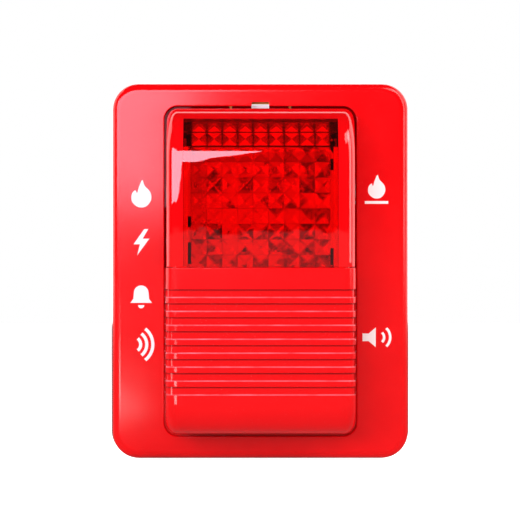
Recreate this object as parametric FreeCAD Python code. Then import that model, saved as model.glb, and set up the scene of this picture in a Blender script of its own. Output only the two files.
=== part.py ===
import FreeCAD, Part
import math
import os

# Wall-mounted horn strobe: a red head with a flashing lens and a sounder, hooked on a white wall base.
#
# Units are millimetres. +X is right and +Z is up as seen from the room, and +Y points into the wall.
# The origin is the centre of the base's rear face, on the wall. Depth always means distance from the
# wall, so a point at depth d has y = -d.

Vector = FreeCAD.Vector

# ---- driving dimensions --------------------------------------------------------------------------
CLEARANCE = 0.15            # general gap between fixed neighbours
SEAT_GAP = 0.02             # gap between parts that rest on each other
FAR = 80.0                  # well outside the object, for cutters
TOUCH = 0.001               # tolerance when edges are picked by where they lie

FRAME_WIDTH = 119.2
FRAME_HEIGHT = 150.4
FRAME_CORNER = 11.5
FRAME_DRAFT = 1.5           # how far each side leans in from the rear edge to the face
FRAME_EDGE = 3.2            # rounding between the face and the sides
FRAME_WALL = 2.4
FRAME_BACK = 0.8            # depth of the frame's rear edge
FRAME_FACE = 22.0           # depth of the frame's face
FRAME_INSIDE = FRAME_FACE - FRAME_WALL
OPENING_EDGE = 0.5          # rounding of the opening's front edge

MODULE_WIDTH = 73.8         # the raised lens and horn cover
MODULE_TOP = 64.2
MODULE_BOTTOM = -63.5
MODULE_HEIGHT = MODULE_TOP - MODULE_BOTTOM
MODULE_MIDDLE = (MODULE_TOP + MODULE_BOTTOM) / 2
MODULE_FRONT = 46.0
MODULE_TOP_RADIUS = 22.0
MODULE_BOTTOM_RADIUS = 12.0
MODULE_FLANK_RADIUS = 4.4
MODULE_WALL = 2.4
SIDE_GAP = 1.0              # gaps between the module and the frame's opening
TOP_GAP = 0.75
BOTTOM_GAP = 1.6
SEAM_Z = 1.4                # joint between the lens and the horn cover
LENS_INSET = 0.25           # the lens sits this much inside the horn cover's outline
LENS_WALL = 2.0
LENS_EDGE = 0.35            # rounding of the lens's lower edge
TONGUE_REACH = 3.0          # how far the lens's tongue reaches below the joint
TONGUE_WALL = 0.75
TONGUE_ROOT = 1.5           # height above the joint at which the tongue starts

FLANGE_WIDTH = 3.2          # retaining lip behind the frame's face
FLANGE_BACK = 17.7
FLANGE_FRONT = 19.45

GROOVE_COUNT = 8
GROOVE_PITCH = 5.386
GROOVE_HEIGHT = 2.9
FIRST_GROOVE_TOP = -7.1
GROOVE_DEPTH = 1.2
GROOVE_SIDE_DEPTH = 0.8
GROOVE_FLANK_RADIUS = 1.8
GROOVE_BACK = 37.0          # the grooves wrap round the flanks to this depth
GROOVE_EDGE = 0.28

OUTLET_COUNT = 9            # sound outlets in the module's underside
OUTLET_WIDTH = 2.4
OUTLET_PITCH = 5.4
OUTLET_BACK, OUTLET_FRONT = 25.0, 33.5

COVER_POST_X, COVER_POST_Z = 31.0, -16.0
COVER_POST_RADIUS = 2.4
COVER_SCREW_HOLE = 12.0     # depth of the screw holes in the horn cover's posts

PRISM_PITCH = 6.0
PRISM_COLUMNS = 9
PRISM_ROWS = 8              # rows on the flat front; PRISM_CURVED_ROWS more bend over the top
PRISM_CURVED_ROWS = 3
PRISM_HEIGHT = 1.5
PRISM_BORDER = 3.3
PRISM_PLATE = 1.6
PRISM_BASE = 41.0           # depth of the prism bases on the flat front
PRISM_BEND_Z = 42.3         # height at which the prism plate starts to bend over
PRISM_BEND_RADIUS = 18.8
PRISM_SKIRT_BACK = 16.7
PRISM_SKIRT_WALL = 1.4
PRISM_TOP_ANGLE = 0.16      # plain strip above the top row, as an angle of the bend

LED_XS = (-19.5, -6.5, 6.5, 19.5)
LED_ZS = (14.0, 34.0)
LED_RADIUS = 2.5
LED_STRAIGHT = 4.6          # height of a diode's straight part

REFLECTOR_Z = 24.0
REFLECTOR_REAR = (48.0, 38.0)
REFLECTOR_FRONT = (57.0, 46.4)
REFLECTOR_RIM = 37.8        # depth of the reflector's front edge
REFLECTOR_CORNER = 3.0
REFLECTOR_WALL = 1.0
REFLECTOR_NOTCHES = (        # x, z and height of each clip notch in the edge
    (27.6, 41.4, 4.4),
    (27.8, 5.6, 6.6),
    (-27.8, 19.2, 4.2),
    (-27.4, 7.0, 8.4),
)
NOTCH_DEPTH = 4.3

BASE_WIDTH = 100.0
BASE_HEIGHT = 128.0
BASE_CORNER = 6.0
BASE_PLATE = 2.4
BASE_RIM = 6.0
BASE_RIM_WALL = 1.8
WALL_SLOT_SPACING = 60.0
WALL_SLOT_LENGTH = 8.0
WALL_SLOT_RADIUS = 2.3
CABLE_HOLE_RADIUS = 13.0

TRAY_WIDTH = 108.0
TRAY_HEIGHT = 138.0
TRAY_BACK, TRAY_FRONT = 11.0, 13.0
TRAY_CORNER = 7.0
TRAY_RIB = 1.2              # height of the tray's ribs
POST_RADIUS = 2.8
BOARD_BACK, BOARD_FRONT = 15.0, 16.6
BOARD_WIDTH, BOARD_HEIGHT, BOARD_Z = 66.5, 121.0, -1.5
LED_BOARD_BACK, LED_BOARD_FRONT = 24.0, 25.6
LED_BOARD_WIDTH, LED_BOARD_HEIGHT, LED_BOARD_Z = 54.0, 52.0, 26.0
LIGHT_POST_X = 24.5         # posts, spacers and screws of the light board
LIGHT_POST_ZS = (3.0, 49.0)
SPACER_RADIUS = 2.6

CHIP_PLACES = (             # x, z, width and height of each integrated circuit
    (0.0, 40.0, 7.0, 7.0),
    (12.0, 28.0, 5.0, 4.0),
    (-12.0, 28.0, 5.0, 4.0),
    (0.0, 16.0, 10.0, 4.0),
)
CAPACITORS = (              # x, radius and height of each can
    (24.0, 4.0, 13.0),
    (-24.0, 4.0, 13.0),
    (-15.0, 3.15, 11.0),
)
POWER_ROW_Z = -5.5
TRANSFORMER_Z = -5.25
HEADER_Z = 50.4

HINGE_DEPTH = 5.0
HINGE_Z = -69.0
HINGE_PIN_RADIUS = 1.5
HINGE_RUNNING_GAP = 0.05
HINGE_X = 34.0              # centre of each of the two hooks
HINGE_EYE_RADIUS = 2.9      # outside of the lugs and hooks
LUG_WIDTH = 2.8
LUG_OFFSET = 4.0            # from the middle of a hook to the middle of each lug beside it
HOOK_WIDTH = 4.0
HOOK_FOOT = -73.0           # lower end of the hooks, inside the frame's wall
HOOK_BACK = 2.8
RELIEF_TOP, RELIEF_FOOT = -71.4, -75.2      # slope that lets the head tilt on the hooks

BOSS_X, BOSS_Z = 47.0, 62.0
BOSS_RADIUS = 3.4
SCREW_RADIUS = 1.25
SCREW_THREAD_GAP = 0.03
SCREW_HOLE = 1.3            # radius of a plain hole round a screw
PAN_HEAD_RADIUS = 2.5

TERMINAL_XS = (-15.0, -5.0, 5.0, 15.0)
TERMINAL_Z = -45.0
TERMINAL_HALF_HEIGHT = 7.0
TERMINAL_HALF_WIDTH = 20.5
TERMINAL_SCREW_Z = -43.5
TERMINAL_FRONT = 10.4
TERMINAL_SHELF_BACK, TERMINAL_SHELF_FRONT = 8.6, 9.2
CONTACT_BAR_BACK, CONTACT_BAR_FRONT = 5.5, 5.9
CONTACT_HALF_WIDTH = 1.6
CONTACT_Z = -58.0
CAGE_HALF_WIDTH, CAGE_WALL = 2.75, 0.7
CAGE_BACK, CAGE_FRONT = 3.15, 6.8
TERMINAL_HEAD_RADIUS = 2.3
TERMINAL_THREAD = 1.25
STUD_RADIUS, STUD_STEM = 1.9, 1.0
STUD_BACK = 9.95

LATCH_HALF_WIDTH = 3.2
LATCH_SIDE_GAP = 0.25
LATCH_TOP = 65.5            # pressed down
LATCH_ARM = (61.0, 63.8)    # lower and upper face of the arm
LATCH_HOOK = (16.2, 17.4)   # depths of the hook
LATCH_PAD_FRONT = 19.2
LATCH_PAD_LOW = 64.35
SLIDE_HALF_WIDTH = 5.0
SLIDE_FRONT = 6.1
SLIDE_LOW = 50.0
GUIDE_OUTSIDE, GUIDE_FRONT = 7.0, 7.4
GUIDE_LOW, GUIDE_HIGH = 46.5, 61.5
SPRING_TURNS = 5.5
SPRING_RADIUS, SPRING_WIRE = 1.55, 0.22
SPRING_LOW, SPRING_HIGH = 42.75, 49.7
SPRING_DEPTH = 4.4
WINDOW_TOP = 66.6           # upper edge of the release window in the frame
WINDOW_SIDE_GAP = 0.2
STRIKE_Z = 66.0             # lower edge of the strike plate
STRIKE_HALF_WIDTH, STRIKE_TOP = 12.6, 71.0
STAKE_X, STAKE_Z = 8.0, 69.2
STAKE_RADIUS = 0.9
STRIKE_PIN_X, STRIKE_PIN_Z = 11.7, 64.9
STRIKE_PIN_RADIUS = 0.5
STRIKE_PIN_FRONT = 19.8
STRIKE_BACK, STRIKE_FRONT = 15.2, 15.9

SOUNDER_Z = -34.0
SOUNDER_RADIUS = 23.0
SOUNDER_BACK, SOUNDER_FRONT = 20.0, 30.0
PIEZO_DEPTH = 26.0
SOUNDER_POST = 2.6
PIEZO_SEAT = 1.8            # wall of the cup round the disc
PIEZO_RADIUS, PIEZO_THICKNESS = 21.05, 0.3
CERAMIC_RADIUS, CERAMIC_THICKNESS = 13.0, 0.25
LEAD_HOLE_DEPTH, LEAD_HOLE_RADIUS = 23.0, 1.9
CAP_SEAT = 32.2             # depth of the cap's flat top
CAP_FRONT = 36.6
THROAT_RADIUS = 6.0
DUCT_FRONT = 43.0
DUCT_WALL = 1.0
DUCT_TOP, DUCT_LOW = -14.0, -52.5
DUCT_HALF_TOP, DUCT_HALF_BOTTOM = 13.0, 25.0

VOLUME_X, VOLUME_Z = 20.0, -28.0
VOLUME_HALF = (4.5, 2.2)    # half the width and height of the slide switch
LEVER_BACK, LEVER_FRONT = 10.3, 13.4
LEVER_HALF_HEIGHT = 0.85
TONE_X, TONE_Z = -20.0, -28.0
TONE_HALF = 4.0
ROTOR_RADIUS = 2.65
ROTOR_BACK, ROTOR_FRONT = 10.7, 13.8
SWITCH_BACK = 11.4


# ---- geometry helpers ----------------------------------------------------------------------------
def point(x, depth, z):
    return Vector(x, -depth, z)


def box(x0, x1, back, front, z0, z1):
    """Block between two x values, two depths and two heights."""
    return Part.makeBox(x1 - x0, front - back, z1 - z0, point(x0, front, z0))


def rod(x, z, radius, back, front):
    """Round bar that runs from depth back to depth front."""
    return Part.makeCylinder(radius, front - back, point(x, back, z), Vector(0, -1, 0))


def bar(x0, x1, depth, z, radius):
    """Round bar that runs along X."""
    return Part.makeCylinder(radius, x1 - x0, point(x0, depth, z), Vector(1, 0, 0))


def rounded_outline(width, height, corner, depth, x=0.0, z=0.0):
    """Closed wire of a rectangle with round corners, at one depth."""
    hw, hh = width / 2, height / 2
    cut = corner * (1 - math.sqrt(0.5))
    edges = []
    ends = []
    for sx, sz in ((1, 1), (-1, 1), (-1, -1), (1, -1)):
        on_side = point(x + sx * hw, depth, z + sz * (hh - corner))
        on_end = point(x + sx * (hw - corner), depth, z + sz * hh)
        middle = point(x + sx * (hw - cut), depth, z + sz * (hh - cut))
        first, last = (on_side, on_end) if sx * sz > 0 else (on_end, on_side)
        ends.append((first, middle, last))
    for i, (first, middle, last) in enumerate(ends):
        edges.append(Part.Arc(first, middle, last).toShape())
        edges.append(Part.LineSegment(last, ends[(i + 1) % 4][0]).toShape())
    return Part.Wire(edges)


def slab(width, height, corner, back, front, x=0.0, z=0.0):
    """Plate with round corners."""
    face = Part.Face(rounded_outline(width, height, corner, back, x, z))
    return face.extrude(Vector(0, back - front, 0))


def drafted_slab(width, height, corner, back, front, draft):
    """Plate with round corners whose sides lean in by draft towards the front."""
    rear = rounded_outline(width, height, corner, back)
    face = rounded_outline(width - 2 * draft, height - 2 * draft, corner - draft, front)
    return Part.makeLoft([rear, face], True, True)


def stadium(x, z, length, radius, back, front, along_x):
    """Slot-shaped bar with round ends."""
    width, height = (length, 2 * radius) if along_x else (2 * radius, length)
    return slab(width, height, radius - 0.001, back, front, x, z)


def side_profile(points, x0, x1):
    """Solid made by extruding a closed outline of (depth, z) points along X."""
    corners = [point(x0, d, z) for d, z in points]
    face = Part.Face(Part.makePolygon(corners + corners[:1]))
    return face.extrude(Vector(x1 - x0, 0, 0))


def bent_strip(points, thickness, x0, x1):
    """Sheet-metal strip whose centre line follows (depth, z) points, extruded along X."""
    def normal(a, b):
        run, rise = b[0] - a[0], b[1] - a[1]
        size = math.hypot(run, rise)
        return -rise / size, run / size

    normals = [normal(a, b) for a, b in zip(points, points[1:])]
    left, right = [], []
    for i, (d, z) in enumerate(points):
        n0 = normals[max(i - 1, 0)]
        n1 = normals[min(i, len(normals) - 1)]
        mitre = thickness / 2 / (1 + n0[0] * n1[0] + n0[1] * n1[1])
        off_d, off_z = (n0[0] + n1[0]) * mitre, (n0[1] + n1[1]) * mitre
        left.append((d + off_d, z + off_z))
        right.append((d - off_d, z - off_z))
    return side_profile(left + right[::-1], x0, x1)


def group(shapes):
    """One node made of several separate solids."""
    return Part.makeCompound(shapes)


def four_places(x, z):
    """The four places (x, z), (-x, z), (x, -z) and (-x, -z)."""
    return [(sx * x, sz * z) for sx in (-1, 1) for sz in (-1, 1)]


def edges_where(shape, test):
    """Edges whose every sampled point passes test(x, depth, z)."""
    found = []
    for edge in shape.Edges:
        first, last = edge.ParameterRange
        samples = [edge.valueAt(first + (last - first) * s) for s in (0.0, 0.37, 0.5, 1.0)]
        if all(test(p.x, -p.y, p.z) for p in samples):
            found.append(edge)
    return found


def pan_screw(x, z, head_back, tip, head_radius, head_height):
    """Cross-head screw driven from behind: its head's rear is at head_back, its tip points to the room."""
    seat = head_back + head_height
    thread = rod(x, z, SCREW_RADIUS - SCREW_THREAD_GAP, seat, tip)
    screw = rod(x, z, head_radius, head_back, seat).fuse(thread)
    arm, half = head_radius * 0.55, 0.35
    depth = head_back + head_height * 0.6
    cross = box(x - arm, x + arm, head_back, depth, z - half, z + half)
    cross = cross.fuse(box(x - half, x + half, head_back, depth, z - arm, z + arm))
    return screw.cut(cross).removeSplitter()


def front_screw(x, z, seat, tip):
    """Slotted screw driven from the room side, with its head on the seat."""
    radius, height = 2.2, 1.4
    slot_floor, slot_half = 0.8, 0.3
    head = rod(x, z, radius, seat, seat + height)
    slot = box(x - FAR, x + FAR, seat + slot_floor, seat + height + 1, z - slot_half, z + slot_half)
    thread = rod(x, z, SCREW_RADIUS - SCREW_THREAD_GAP, tip, seat)
    return head.cut(slot).fuse(thread).removeSplitter()


# ---- the raised module's common form -------------------------------------------------------------
def module_form(inset, back, flank=None, side_inset=None):
    """The module's outer form, made smaller by inset: a side profile with round flanks."""
    side = inset if side_inset is None else side_inset
    half = MODULE_WIDTH / 2 - side
    top, bottom = MODULE_TOP - inset, MODULE_BOTTOM + inset
    front = MODULE_FRONT - inset
    top_r, bottom_r = MODULE_TOP_RADIUS - inset, MODULE_BOTTOM_RADIUS - inset
    lean = math.sqrt(0.5)
    p = [
        point(-half, back, bottom),
        point(-half, front - bottom_r, bottom),
        point(-half, front - bottom_r * (1 - lean), bottom + bottom_r * (1 - lean)),
        point(-half, front, bottom + bottom_r),
        point(-half, front, top - top_r),
        point(-half, front - top_r * (1 - lean), top - top_r * (1 - lean)),
        point(-half, front - top_r, top),
        point(-half, back, top),
    ]
    wire = Part.Wire([
        Part.LineSegment(p[0], p[1]).toShape(),
        Part.Arc(p[1], p[2], p[3]).toShape(),
        Part.LineSegment(p[3], p[4]).toShape(),
        Part.Arc(p[4], p[5], p[6]).toShape(),
        Part.LineSegment(p[6], p[7]).toShape(),
        Part.LineSegment(p[7], p[0]).toShape(),
    ])
    solid = Part.Face(wire).extrude(Vector(2 * half, 0, 0))
    radius = MODULE_FLANK_RADIUS - inset if flank is None else flank
    outline = edges_where(solid, lambda x, d, z: abs(abs(x) - half) < TOUCH)
    outline = [edge for edge in outline if edge.BoundBox.YMin < -back - TOUCH]
    return solid.makeFillet(radius, outline)


def on_module_form(x, depth, inset=0.0):
    """True on the form's outer surface between its two bends: the flat front, a round flank or a side."""
    half = MODULE_WIDTH / 2 - inset
    front = MODULE_FRONT - inset
    radius = MODULE_FLANK_RADIUS - inset
    if depth < front - radius:
        return abs(abs(x) - half) < TOUCH
    if abs(x) < half - radius + TOUCH:
        return abs(depth - front) < TOUCH
    reach = math.hypot(abs(x) - (half - radius), depth - (front - radius))
    return abs(reach - radius) < TOUCH


def flange(z0, z1):
    """Retaining lip round the module, between two heights, notched for the latch and the strike."""
    width = MODULE_WIDTH + 2 * FLANGE_WIDTH
    height = MODULE_HEIGHT + 2 * FLANGE_WIDTH
    corner = MODULE_FLANK_RADIUS + FLANGE_WIDTH
    outer = slab(width, height, corner, FLANGE_BACK, FLANGE_FRONT, z=MODULE_MIDDLE)
    lip = outer.cut(module_form(MODULE_WALL / 2, FLANGE_BACK - 1))
    notch = LATCH_HALF_WIDTH + LATCH_SIDE_GAP
    lip = lip.cut(box(-notch, notch, 0, FAR, MODULE_TOP, FAR))
    low = STRIKE_PIN_Z - STRIKE_PIN_RADIUS - CLEARANCE
    reach = STRIKE_PIN_RADIUS + 2 * CLEARANCE
    for side in (-1, 1):
        x = side * STRIKE_PIN_X
        lip = lip.cut(box(x - reach, x + reach, 0, FAR, low, FAR))
    return lip.common(box(-FAR, FAR, 0, FAR, z0, z1))


# ---- head: covers --------------------------------------------------------------------------------
def frame_shell():
    """The bezel's drafted shell with its round front edge."""
    outer = drafted_slab(FRAME_WIDTH, FRAME_HEIGHT, FRAME_CORNER, FRAME_BACK, FRAME_FACE, FRAME_DRAFT)
    rim = edges_where(outer, lambda x, d, z: abs(d - FRAME_FACE) < TOUCH)
    outer = outer.makeFillet(FRAME_EDGE, rim)
    width, height = FRAME_WIDTH - 2 * FRAME_WALL, FRAME_HEIGHT - 2 * FRAME_WALL
    corner = FRAME_CORNER - FRAME_WALL
    inner = drafted_slab(width, height, corner, FRAME_BACK, FRAME_INSIDE - 0.05, FRAME_DRAFT)
    inner = inner.fuse(slab(width, height, corner, FRAME_BACK - 1, FRAME_BACK))
    return outer.cut(inner)


def cut_opening(frame):
    """Cuts the module's opening with a rounded edge, the release window and room for the strike's pins."""
    back, front = FRAME_FACE - 5, FRAME_FACE + 1
    width, height = MODULE_WIDTH + 2 * SIDE_GAP, MODULE_HEIGHT + TOP_GAP + BOTTOM_GAP
    middle = MODULE_MIDDLE + (TOP_GAP - BOTTOM_GAP) / 2
    opening = slab(width, height, MODULE_FLANK_RADIUS + SIDE_GAP, back, front, z=middle)
    frame = frame.cut(opening)
    lip = edges_where(frame, lambda x, d, z: abs(d - FRAME_FACE) < TOUCH
                      and abs(x) < width / 2 + 1 and abs(z) < height / 2 + 1)
    frame = frame.makeFillet(OPENING_EDGE, lip)
    window = LATCH_HALF_WIDTH + WINDOW_SIDE_GAP
    cuts = [box(-window, window, back, front, MODULE_TOP, WINDOW_TOP)]
    for side in (-1, 1):
        radius = STRIKE_PIN_RADIUS + CLEARANCE
        cuts.append(rod(side * STRIKE_PIN_X, STRIKE_PIN_Z, radius, back, STRIKE_PIN_FRONT + 0.2))
    return frame.cut(cuts)


def frame_hook(x):
    """Eye that hangs on a hinge pin, with the leg that joins it to the frame's lower wall."""
    half = HOOK_WIDTH / 2
    eye = bar(x - half, x + half, HINGE_DEPTH, HINGE_Z, HINGE_EYE_RADIUS)
    leg = box(x - half, x + half, HINGE_DEPTH, HINGE_DEPTH + HINGE_EYE_RADIUS, HOOK_FOOT, HINGE_Z)
    heel = box(x - half, x + half, HOOK_BACK, HINGE_DEPTH, HOOK_FOOT, HINGE_Z - 2.0)
    return [eye, leg, heel]


def frame_stake(x):
    """Peg with a mushroom head that holds the strike plate."""
    shoulder = rod(x, STAKE_Z, 2 * STAKE_RADIUS, STRIKE_FRONT + 0.05, FRAME_INSIDE + 0.2)
    shank = rod(x, STAKE_Z, STAKE_RADIUS, STRIKE_BACK - 0.6, STRIKE_FRONT + 0.1)
    head = rod(x, STAKE_Z, STAKE_RADIUS + 0.6, STRIKE_BACK - 0.8, STRIKE_BACK - 0.05)
    return [shoulder, shank, head]


def frame_boss(x, z):
    """Screw boss behind the frame's face, with a web to the side wall."""
    half_web = 0.7
    wall_x = math.copysign(FRAME_WIDTH / 2 - FRAME_WALL - 1.1, x)
    post = rod(x, z, BOSS_RADIUS, TRAY_FRONT + 0.1, FRAME_INSIDE + 0.3)
    x0, x1 = sorted((x, wall_x))
    return [post, box(x0, x1, TRAY_FRONT + 1.5, FRAME_INSIDE, z - half_web, z + half_web)]


def front_frame():
    """Red bezel: a drafted shell with the module's opening, screw bosses, hooks and staking pegs."""
    adds, cuts = [], []
    for x, z in four_places(BOSS_X, BOSS_Z):
        adds += frame_boss(x, z)
        cuts.append(rod(x, z, SCREW_RADIUS, TRAY_FRONT, FRAME_INSIDE - 1.0))
    for side in (-1, 1):
        x = side * HINGE_X
        half = HOOK_WIDTH / 2 + 1
        mouth = HINGE_PIN_RADIUS - 0.08
        adds += frame_hook(x)
        adds += frame_stake(side * STAKE_X)
        cuts.append(bar(x - half, x + half, HINGE_DEPTH, HINGE_Z, HINGE_PIN_RADIUS + HINGE_RUNNING_GAP))
        cuts.append(box(x - half, x + half, FRAME_BACK, HINGE_DEPTH, HINGE_Z - mouth, HINGE_Z + mouth))
    tilt_relief = [(-1, RELIEF_TOP), (FRAME_BACK, RELIEF_TOP), (HOOK_BACK, RELIEF_FOOT), (HOOK_BACK, -FAR),
                   (-1, -FAR)]
    cuts.append(side_profile(tilt_relief, -FAR, FAR))
    return cut_opening(frame_shell()).multiFuse(adds).cut(cuts).removeSplitter()


def cut_grooves(shell):
    """Cuts the level grooves across the front and the flanks, and rounds their outer edges."""
    floor = module_form(GROOVE_DEPTH, 0, flank=GROOVE_FLANK_RADIUS, side_inset=GROOVE_SIDE_DEPTH)
    bands = []
    for i in range(GROOVE_COUNT):
        top = FIRST_GROOVE_TOP - i * GROOVE_PITCH
        bands.append(box(-FAR, FAR, GROOVE_BACK, FAR, top - GROOVE_HEIGHT, top))
    shell = shell.cut(group(bands).cut(floor))
    flank_start = MODULE_FRONT - MODULE_FLANK_RADIUS - 0.01
    lowest = FIRST_GROOVE_TOP - GROOVE_COUNT * GROOVE_PITCH
    rims = edges_where(shell, lambda x, d, z: d > flank_start and z > lowest and on_module_form(x, d))
    return shell.makeFillet(GROOVE_EDGE, rims)


def outlet_cutter(x):
    """Slot-shaped cutter through the module's underside."""
    radius = OUTLET_WIDTH / 2
    low, high = MODULE_BOTTOM - 1, MODULE_BOTTOM + MODULE_WALL + 1
    rear, front = OUTLET_BACK + radius, OUTLET_FRONT - radius
    cutter = box(x - radius, x + radius, rear, front, low, high)
    for depth in (rear, front):
        cutter = cutter.fuse(Part.makeCylinder(radius, high - low, point(x, depth, low)))
    return cutter


def cover_post(x, z):
    """Screw post behind the horn cover's front."""
    post = rod(x, z, COVER_POST_RADIUS, BOARD_FRONT + 0.1, MODULE_FRONT - MODULE_WALL + 0.2)
    post = post.common(module_form(MODULE_WALL / 2, 0))
    return post.cut(rod(x, z, SCREW_RADIUS, BOARD_FRONT, BOARD_FRONT + COVER_SCREW_HOLE))


def horn_cover():
    """Opaque lower shell of the module, with grooves across its front and outlets underneath."""
    top = SEAM_Z - CLEARANCE / 2
    shell = module_form(0, FLANGE_BACK).cut(module_form(MODULE_WALL, FLANGE_BACK - 1))
    shell = shell.common(box(-FAR, FAR, 0, FAR, -FAR, top))
    cover = cut_grooves(shell).fuse(flange(-FAR, top))
    for x, z in cover_post_places():
        cover = cover.fuse(cover_post(x, z))
    first = -(OUTLET_COUNT - 1) / 2 * OUTLET_PITCH
    outlets = [outlet_cutter(first + i * OUTLET_PITCH) for i in range(OUTLET_COUNT)]
    return cover.cut(outlets).removeSplitter()


def strobe_lens():
    """Clear red cover over the flasher, with a tongue that tucks behind the horn cover."""
    low = SEAM_Z + CLEARANCE / 2
    shell = module_form(LENS_INSET, FLANGE_BACK).cut(module_form(LENS_INSET + LENS_WALL, FLANGE_BACK - 1))
    shell = shell.common(box(-FAR, FAR, 0, FAR, low, FAR))
    edge = edges_where(shell, lambda x, d, z: abs(z - low) < TOUCH and d > FLANGE_FRONT
                       and on_module_form(x, d, LENS_INSET))
    shell = shell.makeFillet(LENS_EDGE, edge)
    core = module_form(MODULE_WALL + CLEARANCE + TONGUE_WALL, FRAME_FACE - 1)
    tongue = module_form(MODULE_WALL + CLEARANCE, FRAME_FACE).cut(core)
    tongue = tongue.common(box(-FAR, FAR, FRAME_FACE, FAR, SEAM_Z - TONGUE_REACH, SEAM_Z + TONGUE_ROOT))
    bridge = module_form(LENS_INSET + LENS_EDGE + 0.05, FRAME_FACE).cut(core)
    bridge = bridge.common(box(-FAR, FAR, FRAME_FACE, FAR, SEAM_Z + 0.6, SEAM_Z + TONGUE_ROOT + 0.3))
    return shell.multiFuse([tongue, bridge, flange(low, FAR)]).removeSplitter()


# ---- head: flasher -------------------------------------------------------------------------------
def prism_profile(base, bend_radius):
    """(depth, z) corners of the prism rows from the lowest up: the flat rows, then the bent ones."""
    points = [(base, PRISM_BEND_Z - (PRISM_ROWS - j) * PRISM_PITCH) for j in range(PRISM_ROWS + 1)]
    centre = base - bend_radius
    step = PRISM_PITCH / PRISM_BEND_RADIUS
    angles = [j * step for j in range(1, PRISM_CURVED_ROWS + 1)]
    angles.append(PRISM_CURVED_ROWS * step + PRISM_TOP_ANGLE)
    for angle in angles:
        points.append((centre + bend_radius * math.cos(angle), PRISM_BEND_Z + bend_radius * math.sin(angle)))
    return points


def pyramid_apex(x0, x1, low, high):
    """Tip of the pyramid that stands on one cell of the prism field."""
    run, rise = high[0] - low[0], high[1] - low[1]
    size = math.hypot(run, rise)
    depth = (low[0] + high[0]) / 2 + PRISM_HEIGHT * rise / size
    z = (low[1] + high[1]) / 2 - PRISM_HEIGHT * run / size
    return (x0 + x1) / 2, depth, z


def prism_plate(outer, inner, columns):
    """Plate between two profiles whose outer side carries the pyramids; columns are the cells' x limits."""
    faces = []

    def facet(*ring):
        corners = [point(*corner) for corner in ring]
        faces.append(Part.Face(Part.makePolygon(corners + corners[:1])))

    left, right = columns[0], columns[-1]
    patterned_rows = PRISM_ROWS + PRISM_CURVED_ROWS
    for row, (low, high) in enumerate(zip(outer, outer[1:])):
        for x0, x1 in zip(columns, columns[1:]):
            cell = ((x0, *low), (x1, *low), (x1, *high), (x0, *high))
            if row >= patterned_rows or x0 == left or x1 == right:
                facet(*cell)
                continue
            apex = pyramid_apex(x0, x1, low, high)
            for a, b in zip(cell, cell[1:] + cell[:1]):
                facet(a, b, apex)
    for low, high in zip(inner, inner[1:]):
        facet((left, *low), (right, *low), (right, *high), (left, *high))
    for x in (left, right):
        facet(*[(x, *corner) for corner in outer + inner[::-1]])
    for out, inn in ((outer[0], inner[0]), (outer[-1], inner[-1])):
        facet(*([(x, *out) for x in columns] + [(right, *inn), (left, *inn)]))
    shell = Part.makeShell(faces)
    shell.sewShape()
    return Part.makeSolid(shell)


def prism_lens():
    """Clear red plate covered in small pyramids, which spreads the flash; its skirts rest on the tray."""
    outer = prism_profile(PRISM_BASE, PRISM_BEND_RADIUS)
    inner = prism_profile(PRISM_BASE - PRISM_PLATE, PRISM_BEND_RADIUS - PRISM_PLATE)
    half_field = PRISM_COLUMNS * PRISM_PITCH / 2
    half = half_field + PRISM_BORDER
    columns = [-half] + [-half_field + i * PRISM_PITCH for i in range(PRISM_COLUMNS + 1)] + [half]
    step_back = 0.4
    edge = [(depth - step_back, z) for depth, z in outer[PRISM_ROWS + 1:-1]]
    bottom, top = outer[0][1], outer[-2][1]
    outline = [(PRISM_SKIRT_BACK, bottom), (PRISM_BASE - step_back, bottom),
               (PRISM_BASE - step_back, PRISM_BEND_Z)] + edge + [(PRISM_SKIRT_BACK, top)]
    skirts = []
    for side in (-1, 1):
        x0, x1 = sorted((side * half, side * (half - PRISM_SKIRT_WALL)))
        skirts.append(side_profile(outline, x0, x1))
    return prism_plate(outer, inner, columns).multiFuse(skirts)


def led_places():
    return [(x, z) for z in LED_ZS for x in LED_XS]


def light_board_posts():
    return [(x, z) for x in (-LIGHT_POST_X, LIGHT_POST_X) for z in LIGHT_POST_ZS]


def reflector():
    """White tray with flared walls that throws the light forward; its edge has clip notches."""
    back = LED_BOARD_FRONT + 0.6
    wall = REFLECTOR_WALL

    def ring(size, corner, depth):
        return rounded_outline(size[0], size[1], corner, depth, 0, REFLECTOR_Z)

    outer = [ring(REFLECTOR_REAR, REFLECTOR_CORNER, back),
             ring(REFLECTOR_FRONT, REFLECTOR_CORNER, REFLECTOR_RIM)]
    rear_inside = (REFLECTOR_REAR[0] - 2 * wall, REFLECTOR_REAR[1] - 2 * wall)
    front_inside = (REFLECTOR_FRONT[0] - 1.8 * wall, REFLECTOR_FRONT[1] - 1.8 * wall)
    inner = [ring(rear_inside, REFLECTOR_CORNER - wall, back + 1.2 * wall),
             ring(front_inside, REFLECTOR_CORNER - wall, REFLECTOR_RIM + 0.1)]
    tray = Part.makeLoft(outer, True, True).cut(Part.makeLoft(inner, True, True))
    for x, z in led_places():
        tray = tray.cut(rod(x, z, LED_RADIUS + 0.25, LED_BOARD_FRONT, LED_BOARD_FRONT + 3))
    half_notch = 2.2
    for x, z, height in REFLECTOR_NOTCHES:
        tray = tray.cut(box(x - half_notch, x + half_notch, REFLECTOR_RIM - NOTCH_DEPTH, REFLECTOR_RIM + 1,
                            z - height / 2, z + height / 2))
    for x in (-21.5, 21.5):
        foot = rod(x, REFLECTOR_Z, 1.8, LED_BOARD_FRONT + SEAT_GAP, LED_BOARD_FRONT + 1.0)
        tray = tray.fuse(foot)
    return tray.removeSplitter()


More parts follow.
